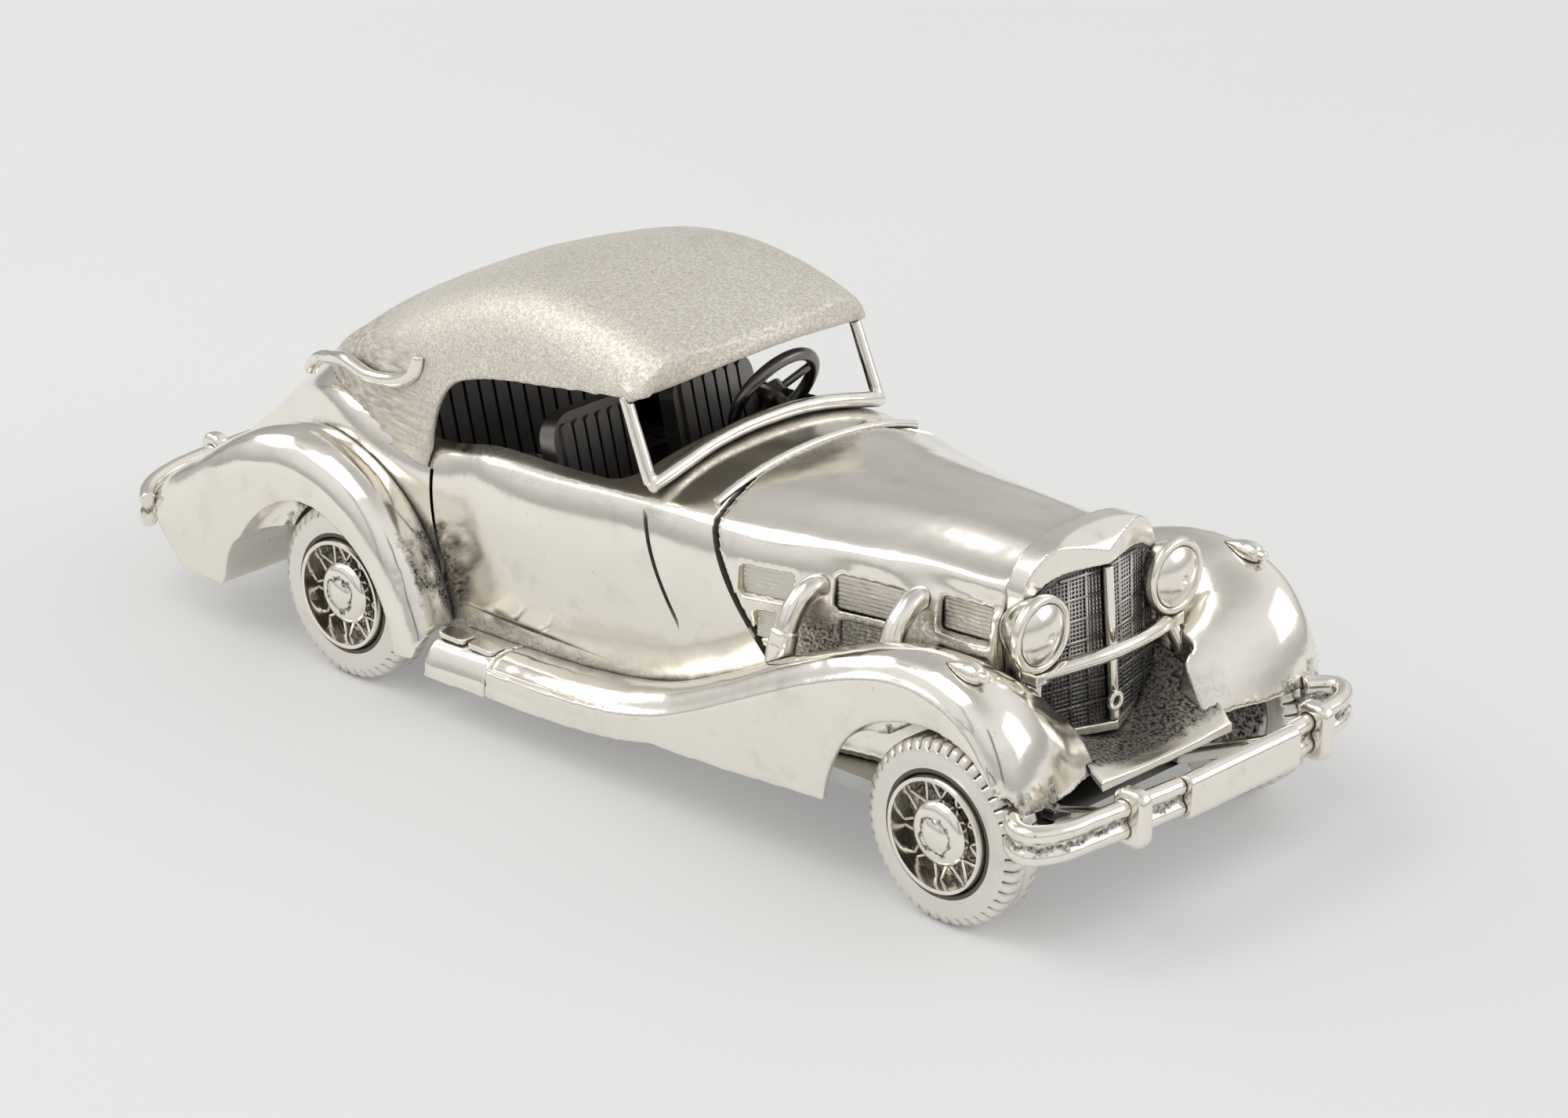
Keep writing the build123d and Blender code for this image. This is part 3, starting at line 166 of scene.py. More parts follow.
def make_world():
    world = bpy.data.worlds.new("studio")
    world.use_nodes = True
    world.node_tree.nodes.clear()
    g = Graph(world.node_tree)
    place = g.node("ShaderNodeTexCoord").outputs["Generated"]
    parts = g.node("ShaderNodeSeparateXYZ")
    g.join(place, parts.inputs[0])
    x, y, z = parts.outputs
    dome = g.ramp(z, [(0.0, 0.5), (0.1, 0.6), (0.25, 0.84), (0.5, 1.0), (0.8, 0.92), (1.0, 0.62)])
    across = g.math("ADD", g.math("MULTIPLY", x, math.cos(CAMERA_AZIMUTH)), g.math("MULTIPLY", y, math.sin(CAMERA_AZIMUTH)))
    ahead = g.math("SUBTRACT", g.math("MULTIPLY", x, math.sin(CAMERA_AZIMUTH)), g.math("MULTIPLY", y, math.cos(CAMERA_AZIMUTH)))
    behind = g.math("GREATER_THAN", ahead, 0.0)
    stand = g.math("MULTIPLY", g.band(across, -0.055, 0.055, 0.02), g.band(z, -0.2, 0.62, 0.04))
    stand = g.math("MULTIPLY", stand, behind)
    gap = g.math("MULTIPLY", g.band(across, -0.7, -0.6, 0.04), g.band(z, -0.1, 0.8, 0.1))
    corner = g.node("ShaderNodeVectorMath", operation="DOT_PRODUCT")
    g.join(place, corner.inputs[0])
    corner.inputs[1].default_value = direction(math.radians(-116), math.radians(30))
    corner_shade = g.ramp(corner.outputs["Value"], [(0.8, 0.0), (0.95, 0.42)])
    dark = g.math("MAXIMUM", stand, g.math("MULTIPLY", gap, 0.55))
    dark = g.math("MAXIMUM", dark, corner_shade)
    colour = g.mix(dark, dome, (0.05, 0.045, 0.04))
    back = g.node("ShaderNodeBackground")
    g.join(colour, back.inputs[0])
    back.inputs[1].default_value = 0.84
    out = g.node("ShaderNodeOutputWorld")
    g.join(back.outputs[0], out.inputs[0])
    bpy.context.scene.world = world


def make_floor():
    mesh = bpy.data.meshes.new("floor")
    bm = bmesh.new()
    bmesh.ops.create_circle(bm, cap_ends=True, segments=96, radius=2.5)
    bm.to_mesh(mesh)
    bm.free()
    floor = bpy.data.objects.new("floor", mesh)
    bpy.context.scene.collection.objects.link(floor)
    material = bpy.data.materials.new("floor_paper")
    material.use_nodes = True
    g = Graph(material.node_tree)
    surface = material.node_tree.nodes["Principled BSDF"]
    place = g.node("ShaderNodeTexCoord").outputs["Object"]
    cloud = g.noise(place, 9.0, 2.0)
    g.join(g.mix(cloud, (0.56, 0.56, 0.555), (0.59, 0.59, 0.585)), surface.inputs["Base Color"])
    surface.inputs["Emission Color"].default_value = (1.0, 1.0, 0.99, 1.0)
    surface.inputs["Emission Strength"].default_value = FLOOR_GLOW
    surface.inputs["Roughness"].default_value = 0.75
    surface.inputs["Specular IOR Level"].default_value = 0.2
    mesh.materials.append(material)


make_camera()
make_world()
make_floor()
area_light("key_softbox", -30, 60, 0.9, (0.6, 0.6), 2.3, (1.0, 0.99, 0.97))
area_light("left_softbox", -80, 32, 0.9, (0.5, 0.3), 0.7)
area_light("right_softbox", 130, 28, 0.9, (0.55, 0.4), 1.0)
bpy.context.scene.view_settings.view_transform = "Standard"


# ---- Materials ------------------------------------------------------------------------------------
SILVER = (0.93, 0.89, 0.81)
# Dark colour for the oxide in the recesses, and for the painted shade of the arch and wing zones.
TARNISH_AND_SHADE = (0.055, 0.047, 0.04)
BROWN = (0.36, 0.3, 0.235)


WHEEL_CENTRES = ((47.25, 8.7), (-29.25, 8.7))


def wheel_distance(g, x, z):
    """Distance from the nearer axle."""
    reach = []
    for centre_x, centre_z in WHEEL_CENTRES:
        across = g.math("POWER", g.math("ABSOLUTE", g.math("SUBTRACT", x, centre_x * MM)), 2.0)
        above = g.math("POWER", g.math("ABSOLUTE", g.math("SUBTRACT", z, centre_z * MM)), 2.0)
        reach.append(g.math("SQRT", g.math("ADD", across, above)))
    return g.math("MINIMUM", reach[0], reach[1])


def cast_material(
    name, tint=SILVER, roughness=0.1, recess=0.0016, stain=0.35, pits=0.3, wave=0.02, grain=0.0,
    zones=(), dark=TARNISH_AND_SHADE,
):
    """Cast silver-like metal: polished on the high spots, oxidised in the recesses, pitted here and there."""
    material = bpy.data.materials.new(name)
    material.use_nodes = True
    g = Graph(material.node_tree)
    surface = material.node_tree.nodes["Principled BSDF"]
    place = g.node("ShaderNodeTexCoord").outputs["Object"]
    parts = g.node("ShaderNodeSeparateXYZ")
    g.join(place, parts.inputs[0])
    x, y, z = parts.outputs

    broad = g.noise(place, 170, 3.0, 0.55)
    middling = g.noise(place, 620, 4.0, 0.6)
    fine = g.noise(place, 3200, 3.0, 0.6)

    shade = g.node("ShaderNodeAmbientOcclusion", samples=6, only_local=False)
    shade.inputs["Distance"].default_value = recess
    closed = g.math("SUBTRACT", 1.0, shade.outputs["AO"])
    patchy = g.math("ADD", closed, g.math("MULTIPLY", g.math("SUBTRACT", middling, 0.5), 0.5))
    oxide_and_shade = g.ramp(patchy, [(0.40, 0.0), (0.62, 0.55), (0.86, 1.0)])
    # Zones darken areas given by position; the arch, wing and apron zones are painted shade.
    if zones:
        for axis_limits, strength in zones:
            area = None
            for axis, low, high, soft in axis_limits:
                value = {"x": x, "y": g.math("ABSOLUTE", y), "z": z, "r": wheel_distance(g, x, z)}[axis]
                wander = g.math("ADD", value, g.math("MULTIPLY", g.math("SUBTRACT", middling, 0.5), 2.4 * MM))
                limit = g.band(wander, low * MM, high * MM, soft * MM)
                area = limit if area is None else g.math("MULTIPLY", area, limit)
            speckle = g.ramp(fine, [(0.38, 1.0), (0.62, 0.45)])
            area = g.math("MULTIPLY", g.math("MULTIPLY", area, strength), speckle)
            oxide_and_shade = g.math("MAXIMUM", oxide_and_shade, area)

    bruise = g.ramp(g.noise(place, 260, 5.0, 0.62), [(0.56, 0.0), (0.74, stain)])
    colour = g.mix(g.math("MULTIPLY", bruise, 0.5), tint, BROWN)
    colour = g.mix(g.ramp(broad, [(0.3, 0.0), (0.75, 0.22)]), colour, tuple(c * 0.82 for c in tint))
    pit_mask = g.ramp(g.noise(place, 900, 2.0, 0.9), [(0.735 - 0.02 * pits, 0.0), (0.79, pits)])
    # The darkening joins oxide, pits, stains and the painted shade of the zones.
    darkening = g.math("MAXIMUM", oxide_and_shade, pit_mask)
    colour = g.mix(darkening, colour, dark)
    g.join(colour, surface.inputs["Base Color"])

    smear = g.ramp(g.noise(place, 90, 5.0, 0.65), [(0.3, roughness), (0.75, roughness + 0.09)])
    rough = g.mix(darkening, smear, 0.62)
    if grain:
        rough = g.mix(g.math("MULTIPLY", fine, 0.35), rough, 0.6)
    g.join(rough, surface.inputs["Roughness"])
    metal = g.ramp(darkening, [(0.0, 1.0), (1.0, 0.55)])
    g.join(metal, surface.inputs["Metallic"])
    g.join(g.ramp(darkening, [(0.0, 0.5), (1.0, 0.08)]), surface.inputs["Specular IOR Level"])

    lumpy = g.math("ADD", g.math("MULTIPLY", broad, wave), g.math("MULTIPLY", middling, wave * 0.12))
    rough_skin = g.math("MULTIPLY", g.math("MULTIPLY", fine, 0.05), g.math("ADD", darkening, grain))
    height = g.math("ADD", lumpy, rough_skin)
    bump = g.node("ShaderNodeBump")
    bump.inputs["Strength"].default_value = 1.0
    bump.inputs["Distance"].default_value = 1.0 * MM
    g.join(height, bump.inputs["Height"])
    g.join(bump.outputs[0], surface.inputs["Normal"])
    return material


def top_material():
    """Satin grained metal of the soft top, with a weave-like stipple and brushed darker rear quarters."""
    material = bpy.data.materials.new("grained_top")
    material.use_nodes = True
    g = Graph(material.node_tree)
    surface = material.node_tree.nodes["Principled BSDF"]
    place = g.node("ShaderNodeTexCoord").outputs["Object"]
    parts = g.node("ShaderNodeSeparateXYZ")
    g.join(place, parts.inputs[0])
    x, y, z = parts.outputs
    stretch = g.node("ShaderNodeMapping")
    stretch.inputs["Scale"].default_value = (1.0, 0.55, 1.0)
    g.join(place, stretch.inputs[0])
    grain = g.noise(stretch.outputs[0], 5200, 2.0, 0.5)
    coarse = g.noise(place, 2400, 3.0, 0.6)
    broad = g.noise(place, 130, 3.0, 0.5)
    brush = g.node("ShaderNodeMapping")
    brush.inputs["Scale"].default_value = (0.12, 1.0, 1.0)
    g.join(place, brush.inputs[0])
    strokes = g.noise(brush.outputs[0], 2200, 3.0, 0.6)
    rear = g.band(x, -50 * MM, -20 * MM, 7 * MM)
    low = g.band(z, 20 * MM, 34.5 * MM, 3 * MM)
    quarter = g.math("MULTIPLY", rear, low)
    tone = g.mix(g.ramp(grain, [(0.35, 0.0), (0.65, 1.0)]), (0.68, 0.64, 0.56), (0.97, 0.93, 0.84))
    tone = g.mix(g.ramp(coarse, [(0.4, 0.0), (0.62, 0.28)]), tone, (0.5, 0.46, 0.39))
    brushed = g.mix(g.ramp(strokes, [(0.3, 0.0), (0.7, 1.0)]), (0.42, 0.38, 0.32), (0.9, 0.86, 0.78))
    tone = g.mix(quarter, tone, brushed)
    shade = g.node("ShaderNodeAmbientOcclusion", samples=6)
    shade.inputs["Distance"].default_value = 2.2 * MM
    closed = g.math("ADD", g.math("SUBTRACT", 1.0, shade.outputs["AO"]), g.math("MULTIPLY", g.math("SUBTRACT", coarse, 0.5), 0.4))
    darkening = g.ramp(closed, [(0.45, 0.0), (0.85, 1.0)])
    tone = g.mix(darkening, tone, (0.06, 0.05, 0.042))
    tone = g.mix(g.ramp(broad, [(0.35, 0.0), (0.8, 0.18)]), tone, (0.5, 0.46, 0.4))
    g.join(tone, surface.inputs["Base Color"])
    g.join(g.ramp(coarse, [(0.3, 0.5), (0.75, 0.66)]), surface.inputs["Roughness"])
    surface.inputs["Metallic"].default_value = 0.85
    height = g.math("ADD", g.math("MULTIPLY", grain, 0.055), g.math("MULTIPLY", coarse, 0.035))
    height = g.mix(quarter, height, g.math("MULTIPLY", strokes, 0.05))
    bump = g.node("ShaderNodeBump")
    bump.inputs["Strength"].default_value = 0.9
    bump.inputs["Distance"].default_value = 1.0 * MM
    g.join(height, bump.inputs["Height"])
    g.join(bump.outputs[0], surface.inputs["Normal"])
    return material


BODY_ZONES = (
    ([("x", 5.5, 9.0, 1.2), ("z", 25.0, 40.0, 1.0)], 0.4),
    ([("x", -60.0, 14.0, 2.0), ("z", 5.0, 9.4, 1.2)], 0.6),
    ([("x", -34.0, -4.0, 5.0), ("z", 24.6, 27.6, 0.8)], 0.3),
)
BONNET_ZONES = (
    ([("x", 26.0, 46.0, 5.0), ("z", 10.0, 25.0, 2.6)], 0.55),
    ([("x", 20.0, 47.0, 4.0), ("z", 10.0, 22.6, 3.6)], 0.95),
    ([("x", 10.0, 16.0, 2.5), ("z", 28.5, 40.0, 1.0)], 0.55),
)
RIM_ZONES = (([("r", -1.0, 4.75, 0.25)], 1.0),)
# Painted shade inside the wheel arches, under the wings, around the tyres.
ARCH_PAINTED_SHADE = ([("r", -1.0, 10.4, 0.5), ("y", 15.0, 20.4, 0.6)], 1.0)
WING_ZONES = (
    ARCH_PAINTED_SHADE,
    # Painted shade on the wings' inner faces beside the apron, under the radiator.
    ([("y", 6.0, 12.5, 2.5), ("x", 42.0, 54.0, 3.0), ("z", 4.0, 16.5, 3.0)], 0.9),
    ([("x", -12.0, 8.0, 5.0), ("y", 14.0, 18.0, 1.2)], 0.55),
)
HUB_ZONES = (([("r", 1.42, 1.85, 0.14)], 1.0),)
BUMPER_ZONES = (
    ([("x", 54.0, 70.0, 0.5), ("z", 11.75, 12.65, 0.3)], 0.95),
    ([("x", -70.0, -54.0, 0.5), ("z", 9.35, 10.25, 0.3)], 0.95),
)
MATERIALS = {
    "silver": cast_material("cast_silver"),
    "body": cast_material("cast_silver_body", zones=BODY_ZONES),
    "bonnet": cast_material("cast_silver_bonnet", zones=BONNET_ZONES),
    "wing": cast_material("cast_silver_wing", zones=WING_ZONES),
    "rear_wing": cast_material("cast_silver_rear_wing", zones=(ARCH_PAINTED_SHADE,)),
    "bumper": cast_material(
        "cast_silver_bumper", roughness=0.13, recess=0.9 * MM, stain=0.5, pits=0.5, wave=0.03, zones=BUMPER_ZONES
    ),
    "hub": cast_material("hub_silver", roughness=0.12, recess=0.8 * MM, stain=0.5, pits=0.5, zones=HUB_ZONES),
    "notch": cast_material("tyre_notch", tint=(0.16, 0.14, 0.12), roughness=0.45, dark=(0.02, 0.018, 0.016)),
    "small": cast_material("cast_silver_small", roughness=0.13, recess=0.9 * MM, stain=0.5, pits=0.5, wave=0.03),
    "grille": cast_material(
        "oxidised_mesh", tint=(0.2, 0.19, 0.185), roughness=0.4, stain=0.6, pits=0.6, dark=(0.012, 0.012, 0.013)
    ),
    "rough": cast_material(
        "oxidised_cast", tint=(0.72, 0.69, 0.63), roughness=0.3, recess=0.5 * MM, stain=0.7, pits=0.9,
        grain=0.5, zones=(([("x", 22.0, 47.0, 6.0), ("z", 10.0, 23.4, 4.0)], 0.75),),
    ),
    "interior": cast_material(
        "blackened_interior", tint=(0.24, 0.23, 0.22), roughness=0.3, stain=0.5, pits=0.3, dark=(0.01, 0.009, 0.009)
    ),
    "tyre": cast_material("satin_tyre", tint=(0.86, 0.83, 0.77), roughness=0.26, recess=0.7 * MM, pits=0.45, grain=0.25),
    "rim": cast_material("rim_silver", roughness=0.12, recess=0.6 * MM, zones=RIM_ZONES, dark=(0.012, 0.011, 0.01)),
    # The apron is dark behind its front lip: painted shade under the radiator between the wings.
    "apron": cast_material(
        "apron_painted_shade", tint=(0.8, 0.76, 0.68), roughness=0.2, grain=0.5, dark=(0.03, 0.026, 0.022),
        zones=(([("x", 40.0, 54.4, 0.8)], 1.0),),
    ),
    "spokes": cast_material("dark_spokes", tint=(0.8, 0.76, 0.69), roughness=0.2, recess=0.5 * MM),
    "steel": cast_material("plain_steel", tint=(0.6, 0.6, 0.59), roughness=0.3),
    "top": top_material(),
    # The radiator mesh is darker towards its sides and its bottom.
    "mesh": cast_material(
        "mesh_darker_sides_and_bottom", tint=(0.5, 0.48, 0.45), roughness=0.25, recess=0.6 * MM, pits=0.4, dark=(0.015, 0.015, 0.016),
        zones=(([("y", 4.4, 12.0, 1.5)], 0.85), ([("z", 5.0, 20.5, 2.5)], 0.8)),
    ),
}
SURFACES = {
    "body_shell": "body", "bonnet": "bonnet", "bonnet_louvres": "rough", "soft_top": "top",
    "front_fender_right": "wing", "front_fender_left": "wing", "running_board_right": "wing",
    "running_board_left": "wing", "rear_fender_right": "rear_wing", "rear_fender_left": "rear_wing",
    "front_bumper": "bumper", "rear_bumper": "bumper",
    "front_apron": "apron", "radiator_grille": "grille", "base_plate": "steel", "base_screws": "steel",
    "front_axle": "steel", "rear_axle": "steel", "interior_floor": "interior", "dashboard": "interior",
    "steering_column": "interior", "steering_wheel": "interior", "front_seat_right": "interior",
    "front_seat_left": "interior", "rear_bench": "interior", "front_spokes": "spokes", "rear_spokes": "spokes",
}
# Node: voxel in mm, smoothing steps, size in mm of the hand-finished unevenness
SHAPES = {
    "bonnet": (0.26, 3, 0.05), "soft_top": (0.3, 4, 0.08),
    "front_fender_right": (0.27, 4, 0.07), "front_fender_left": (0.27, 4, 0.07),
    "rear_fender_right": (0.22, 4, 0.05), "rear_fender_left": (0.22, 4, 0.05),
    "running_board_right": (0.2, 3, 0.05), "running_board_left": (0.2, 3, 0.05),
    "radiator_shell": (0.16, 3, 0.05), "front_apron": (0.2, 3, 0.08),
    "landau_bar_right": (0.12, 4, 0.1), "landau_bar_left": (0.12, 4, 0.1),
    "windscreen_frame": (0.14, 3, 0.08), "headlamp_right": (0.14, 3, 0.05), "headlamp_left": (0.14, 3, 0.05),
    "headlamp_lens_right": (0.12, 2, 0.05), "headlamp_lens_left": (0.12, 2, 0.05),
    "headlamp_bar": (0.13, 4, 0.07), "headlamp_stays": (0.13, 3, 0.07), "marker_lamps": (0.12, 3, 0.05),
    "exhaust_pipes": (0.12, 3, 0.06), "front_bumper": (0.17, 3, 0.07), "rear_bumper": (0.17, 3, 0.07),
    "front_bumper_plate": (0.13, 3, 0.05), "front_overriders": (0.12, 4, 0.06),
    "rear_overriders": (0.12, 4, 0.06), "front_bumper_irons": (0.16, 3, 0.05),
    "step_strips": (0.12, 2, 0.05), "grille_centre_bar": (0.11, 2, 0.03), "crank_ring": (0.07, 2, 0.02),
}


# Node: how far in mm the skin swells while it is rebuilt, which closes a worn-through thin wall
THIN_WALLS = {"rear_fender_right": 0.15, "rear_fender_left": 0.15}


def push(obj, distance):
    """Moves the whole skin outwards, or inwards if the distance is negative."""
    shift = obj.modifiers.new("push", "DISPLACE")
    shift.strength = distance
    shift.mid_level = 0


def hand_finish(node, voxel, steps, unevenness):
    """Rebuilds a casting's skin evenly, softens its edges and lets it wander like a hand-polished one."""
    obj = NODES[node]
    swell = THIN_WALLS.get(node, 0) * MM
    if swell:
        weld = obj.modifiers.new("weld", "WELD")
        weld.merge_threshold = 0.001 * MM
        push(obj, swell)
    remesh = obj.modifiers.new("skin", "REMESH")
    remesh.mode = "VOXEL"
    remesh.voxel_size = voxel * MM
    remesh.use_smooth_shade = True
    if swell:
        push(obj, -swell)
    soft = obj.modifiers.new("soften", "SMOOTH")
    soft.factor = 0.5
    soft.iterations = steps
    waves = bpy.data.textures.new(node + "_waves", "CLOUDS")
    waves.noise_scale = 5.5 * MM
    waves.noise_depth = 2
    uneven = obj.modifiers.new("uneven", "DISPLACE")
    uneven.texture = waves
    uneven.texture_coords = "LOCAL"
    uneven.strength = unevenness * 2 * MM
    uneven.mid_level = 0.5


for node, obj in NODES.items():
    kind = SURFACES.get(node, "small")
    if node.startswith("tyre"):
        kind = "tyre"
    if node.startswith("rim"):
        kind = "rim"
    if node.startswith("hubcap"):
        kind = "hub"
    obj.data.materials.clear()
    obj.data.materials.append(MATERIALS[kind])
    if node in SHAPES:
        hand_finish(node, *SHAPES[node])
    else:
        for polygon in obj.data.polygons:
            polygon.use_smooth = True
        smooth = obj.modifiers.new("round", "BEVEL")
        smooth.width = 0.06 * MM
        smooth.segments = 2
        smooth.limit_method = "ANGLE"


# ---- Tyres with notched shoulders -----------------------------------------------------------------
TYRE_R = 8.68
NOTCHES = 44
BEAD_FACES = 3  # faces of the profile in the dark groove beside the rim
# Outer face to inner face: distance in from the outer face, radius, and how deep a notch goes there, in mm
TYRE_PROFILE = (
    (0.30, 5.50, 0), (0.10, 5.62, 0), (0.02, 5.85, 0), (0.10, 6.02, 0), (0.04, 6.25, 0), (0.0, 6.9, 0),
    (0.03, 7.45, 0), (0.10, 7.75, 0), (0.16, 7.85, 0.16), (0.34, 8.2, 0.26), (0.6, 8.5, 0.3), (0.95, 8.63, 0.3),
    (1.25, 8.66, 0.22), (1.4, 8.68, 0), (1.9, 8.68, 0), (2.05, 8.6, 0), (2.2, 8.68, 0), (2.9, 8.68, 0),
    (3.2, 8.66, 0.22), (3.55, 8.63, 0.3), (3.9, 8.5, 0.3), (4.16, 8.2, 0.26), (4.34, 7.85, 0.16), (4.4, 7.75, 0),
    (4.47, 7.45, 0), (4.5, 6.9, 0), (4.46, 6.1, 0), (4.3, 5.6, 0), (4.1, 5.50, 0),
)


def build_tyre(node, body):
    """One ring of rubber shape with a row of notches along both shoulders, cast in metal."""
    low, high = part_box(node)
    middle = (low + high) / 2
    side = 1 if middle.y > 0 else -1
    outer = high.y if side > 0 else low.y
    steps = []
    for notch in range(NOTCHES):
        for share, deep in ((0.0, 1), (0.17, 1), (0.24, 0), (0.5, 0), (0.76, 0), (0.93, 0)):
            steps.append((2 * math.pi * (notch + share) / NOTCHES, deep))
    bm = bmesh.new()
    rings = []
    for index, (angle, deep) in enumerate(steps):
        wander = 0.03 * noise.noise(Vector((math.cos(angle) * 3, math.sin(angle) * 3, middle.x * 90)))
        ring = []
        for inset, radius, notch_depth in TYRE_PROFILE:
            cut = notch_depth * deep
            reach = (radius + (wander if radius > 5.6 else 0) - cut) * MM
            ring.append(bm.verts.new((
                middle.x + reach * math.cos(angle),
                outer - side * (inset + 0.25 * cut) * MM,
                middle.z + reach * math.sin(angle),
            )))
        rings.append(ring)
    for index, ring in enumerate(rings):
        following = rings[(index + 1) % len(rings)]
        for place in range(len(ring)):
            after = (place + 1) % len(ring)
            corners = (ring[place], following[place], following[after], ring[after])
            face = bm.faces.new(corners if side < 0 else tuple(reversed(corners)))
            in_notch = steps[index][1] and steps[(index + 1) % len(steps)][1]
            cut_face = in_notch and TYRE_PROFILE[place][2] and TYRE_PROFILE[after][2]
            face.material_index = 1 if cut_face or place < BEAD_FACES else 0
    bmesh.ops.recalc_face_normals(bm, faces=bm.faces)
    piece = mesh_piece(node + "_notched", bm, MATERIALS["tyre"])
    piece.data.materials.append(MATERIALS["notch"])
    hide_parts(node)
    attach(piece, body)


def mesh_piece(name, bm, material):
    """Object made from the bmesh, smooth shaded, with one material."""
    for face in bm.faces:
        face.smooth = True
    mesh = bpy.data.meshes.new(name)
    bm.to_mesh(mesh)
    bm.free()
    mesh.materials.append(material)
    piece = bpy.data.objects.new(name, mesh)
    bpy.context.scene.collection.objects.link(piece)
    return piece


for axle in ("front", "rear"):
    for side_name in ("right", "left"):
        build_tyre(f"tyre_{axle}_{side_name}", f"{axle}_wheelset")


# ---- Radiator mesh --------------------------------------------------------------------------------
GRILLE_LOW_Z = 13.3
GRILLE_HALF_WIDTH = 7.9
GRILLE_CORNER = 2.0
NOSE_LOW = (48.8, 11.4)
NOSE_HIGH = (46.9, 34.0)
GRILLE_SIDE = (45.9, 10.9)
FINE_PITCH = 0.4
CELL = 5


def grille_nose_x(z):
    share = (z - NOSE_LOW[1]) / (NOSE_HIGH[1] - NOSE_LOW[1])
    return NOSE_LOW[0] + share * (NOSE_HIGH[0] - NOSE_LOW[0])


def grille_point(side, across, z, lift):
    """Point on the radiator's V-shaped face, lifted off it, in metres."""
    nose = grille_nose_x(z)
    x = nose + (GRILLE_SIDE[0] - nose) * across / GRILLE_SIDE[1]
    return Vector((x + lift, side * across, z)) * MM


def grille_top(across):
    """Height of the opening's upper edge at a distance from the middle."""
    share = across / GRILLE_HALF_WIDTH
    return 27.9 - 0.62 * share - 1.1 * share ** 6


def wire(bm, start, end, radius):
    """Square-edged wire between two points, open along the grille's face."""
    along = (end - start).normalized()
    out = Vector((1, 0, 0)) - along * along.x
    out.normalize()
    across = along.cross(out)
    rings = []
    for centre in (start, end):
        rings.append([
            bm.verts.new(centre + (out * math.cos(turn) + across * math.sin(turn)) * radius)
            for turn in (math.pi / 3 * step for step in range(6))
        ])
    for step in range(6):
        after = (step + 1) % 6
        bm.faces.new((rings[0][step], rings[0][after], rings[1][after], rings[1][step]))
    bm.faces.new(reversed(rings[0]))
    bm.faces.new(rings[1])


def build_grille():
    bm = bmesh.new()
    for side in (-1, 1):
        count = int((GRILLE_HALF_WIDTH - 0.3) / FINE_PITCH)
        for index in range(1, count + 1):
            across = 0.2 + index * FINE_PITCH
            foot = GRILLE_LOW_Z + max(0.0, across - (GRILLE_HALF_WIDTH - GRILLE_CORNER)) + 0.1
            bold = index % CELL == 0
            lift = 0.1 if bold else 0.03
            wire(
                bm, grille_point(side, across, foot, lift), grille_point(side, across, grille_top(across) - 0.1, lift),
                (0.17 if bold else 0.1) * MM,
            )
        rows = int((27.5 - GRILLE_LOW_Z) / FINE_PITCH)
        for index in range(1, rows + 1):
            z = GRILLE_LOW_Z + index * FINE_PITCH
            reach = GRILLE_HALF_WIDTH - 0.05
            if z < GRILLE_LOW_Z + GRILLE_CORNER:
                reach -= GRILLE_LOW_Z + GRILLE_CORNER - z
            while reach > 0.4 and grille_top(reach) < z + 0.1:
                reach -= 0.1
            bold = index % CELL == 0
            lift = 0.12 if bold else 0.05
            wire(bm, grille_point(side, 0.1, z, lift), grille_point(side, reach, z, lift), (0.17 if bold else 0.1) * MM)
    piece = mesh_piece("radiator_mesh", bm, MATERIALS["mesh"])
    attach(piece, "car")


build_grille()


# ---- Louvre panels --------------------------------------------------------------------------------
# Rear end, front end, bottom and top of each panel on the bonnet's side, in mm
LOUVRE_PANELS = (
    (17.4, 22.8, 20.6, 23.6), (26.6, 34.0, 21.0, 24.2), (37.4, 43.0, 21.6, 24.8),
    (18.8, 22.8, 16.6, 19.4), (27.0, 33.6, 17.2, 20.0), (37.4, 43.0, 17.6, 20.4),
)
RIB_PITCH = 0.42
RIB_HEIGHT = 0.1
STEPS_PER_RIB = 6
PANEL_COLUMNS = 26
PANEL_DEPTH = 0.34


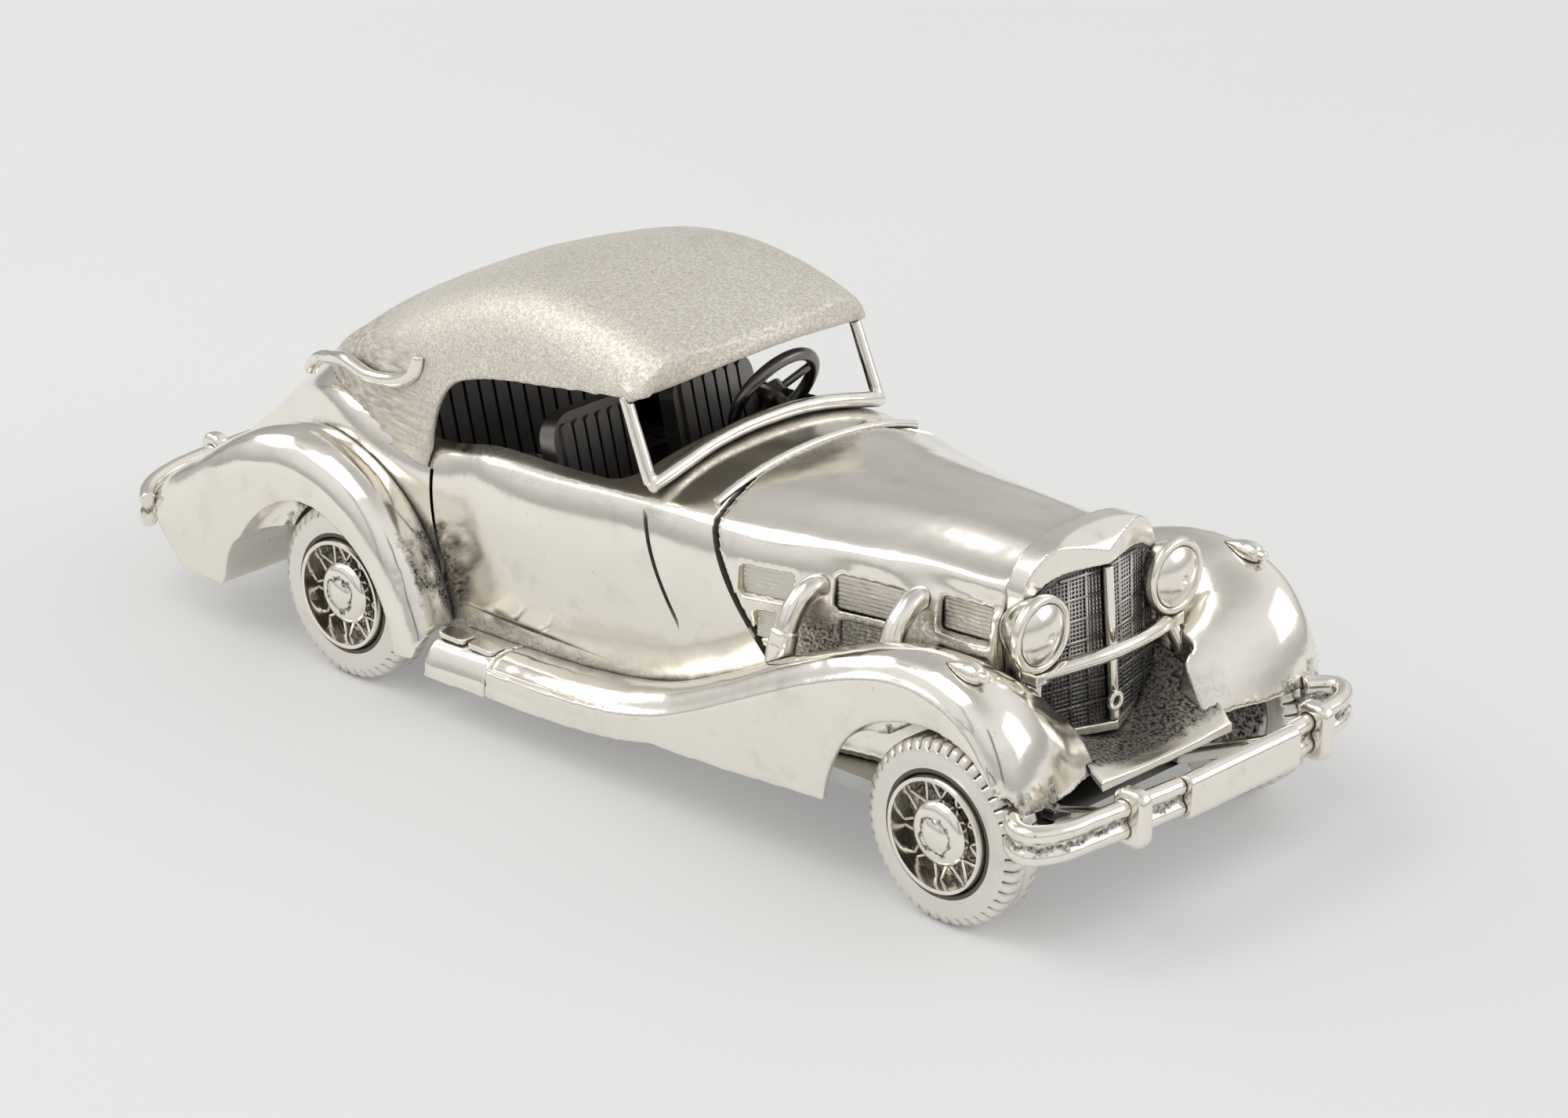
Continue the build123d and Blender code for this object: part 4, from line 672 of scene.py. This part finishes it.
def louvre_panel(bm, side, rear_x, front_x, low_z, high_z, rear_y, front_y):
    """Closed ribbed plate with a grained face that fills one recess of the bonnet."""
    rows = round((high_z - low_z) / RIB_PITCH) * STEPS_PER_RIB
    grid, backs = [], []
    for row in range(rows + 1):
        z = low_z + (high_z - low_z) * row / rows
        rib = RIB_HEIGHT * abs(math.sin(math.pi * row / STEPS_PER_RIB))
        front_line, back_line = [], []
        for column in range(PANEL_COLUMNS + 1):
            share = column / PANEL_COLUMNS
            x = rear_x + (front_x - rear_x) * share
            outer = rear_y + (front_y - rear_y) * share
            worn = 0.5 + 0.5 * noise.noise(Vector((x * 0.5, z * 0.5, side * 4)))
            grain = 0.06 * noise.noise(Vector((x * 3.1, z * 3.1, side)))
            front_line.append(bm.verts.new(Vector((x, side * (outer - 0.05 + rib * worn + grain), z)) * MM))
            back_line.append(Vector((x, side * (outer - PANEL_DEPTH), z)) * MM)
        grid.append(front_line)
        backs.append(back_line)
    for low, high in zip(grid, grid[1:]):
        for column in range(PANEL_COLUMNS):
            bm.faces.new((low[column], low[column + 1], high[column + 1], high[column]))
    edge = [(0, column) for column in range(PANEL_COLUMNS)]
    edge += [(row, PANEL_COLUMNS) for row in range(rows)]
    edge += [(rows, column) for column in range(PANEL_COLUMNS, 0, -1)]
    edge += [(row, 0) for row in range(rows, 0, -1)]
    back_ring = [bm.verts.new(backs[row][column]) for row, column in edge]
    front_ring = [grid[row][column] for row, column in edge]
    for place in range(len(edge)):
        after = (place + 1) % len(edge)
        bm.faces.new((front_ring[place], front_ring[after], back_ring[after], back_ring[place]))
    bm.faces.new(back_ring)


def build_louvres():
    bm = bmesh.new()
    slats = [vertex.co / MM for vertex in NODES["bonnet_louvres"].data.vertices]
    for side in (-1, 1):
        for rear_x, front_x, low_z, high_z in LOUVRE_PANELS:
            middle_x = (rear_x + front_x) / 2
            ends = [point for point in slats if rear_x <= point.x <= front_x and low_z <= point.z <= high_z]
            ends = [point for point in ends if point.y * side > 0]
            rear_y = max(abs(point.y) for point in ends if point.x < middle_x)
            front_y = max(abs(point.y) for point in ends if point.x > middle_x)
            louvre_panel(bm, side, rear_x, front_x, low_z, high_z, rear_y, front_y)
    bmesh.ops.recalc_face_normals(bm, faces=bm.faces)
    piece = mesh_piece("louvre_panels", bm, MATERIALS["rough"])
    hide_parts("bonnet_louvres")
    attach(piece, "car")


build_louvres()
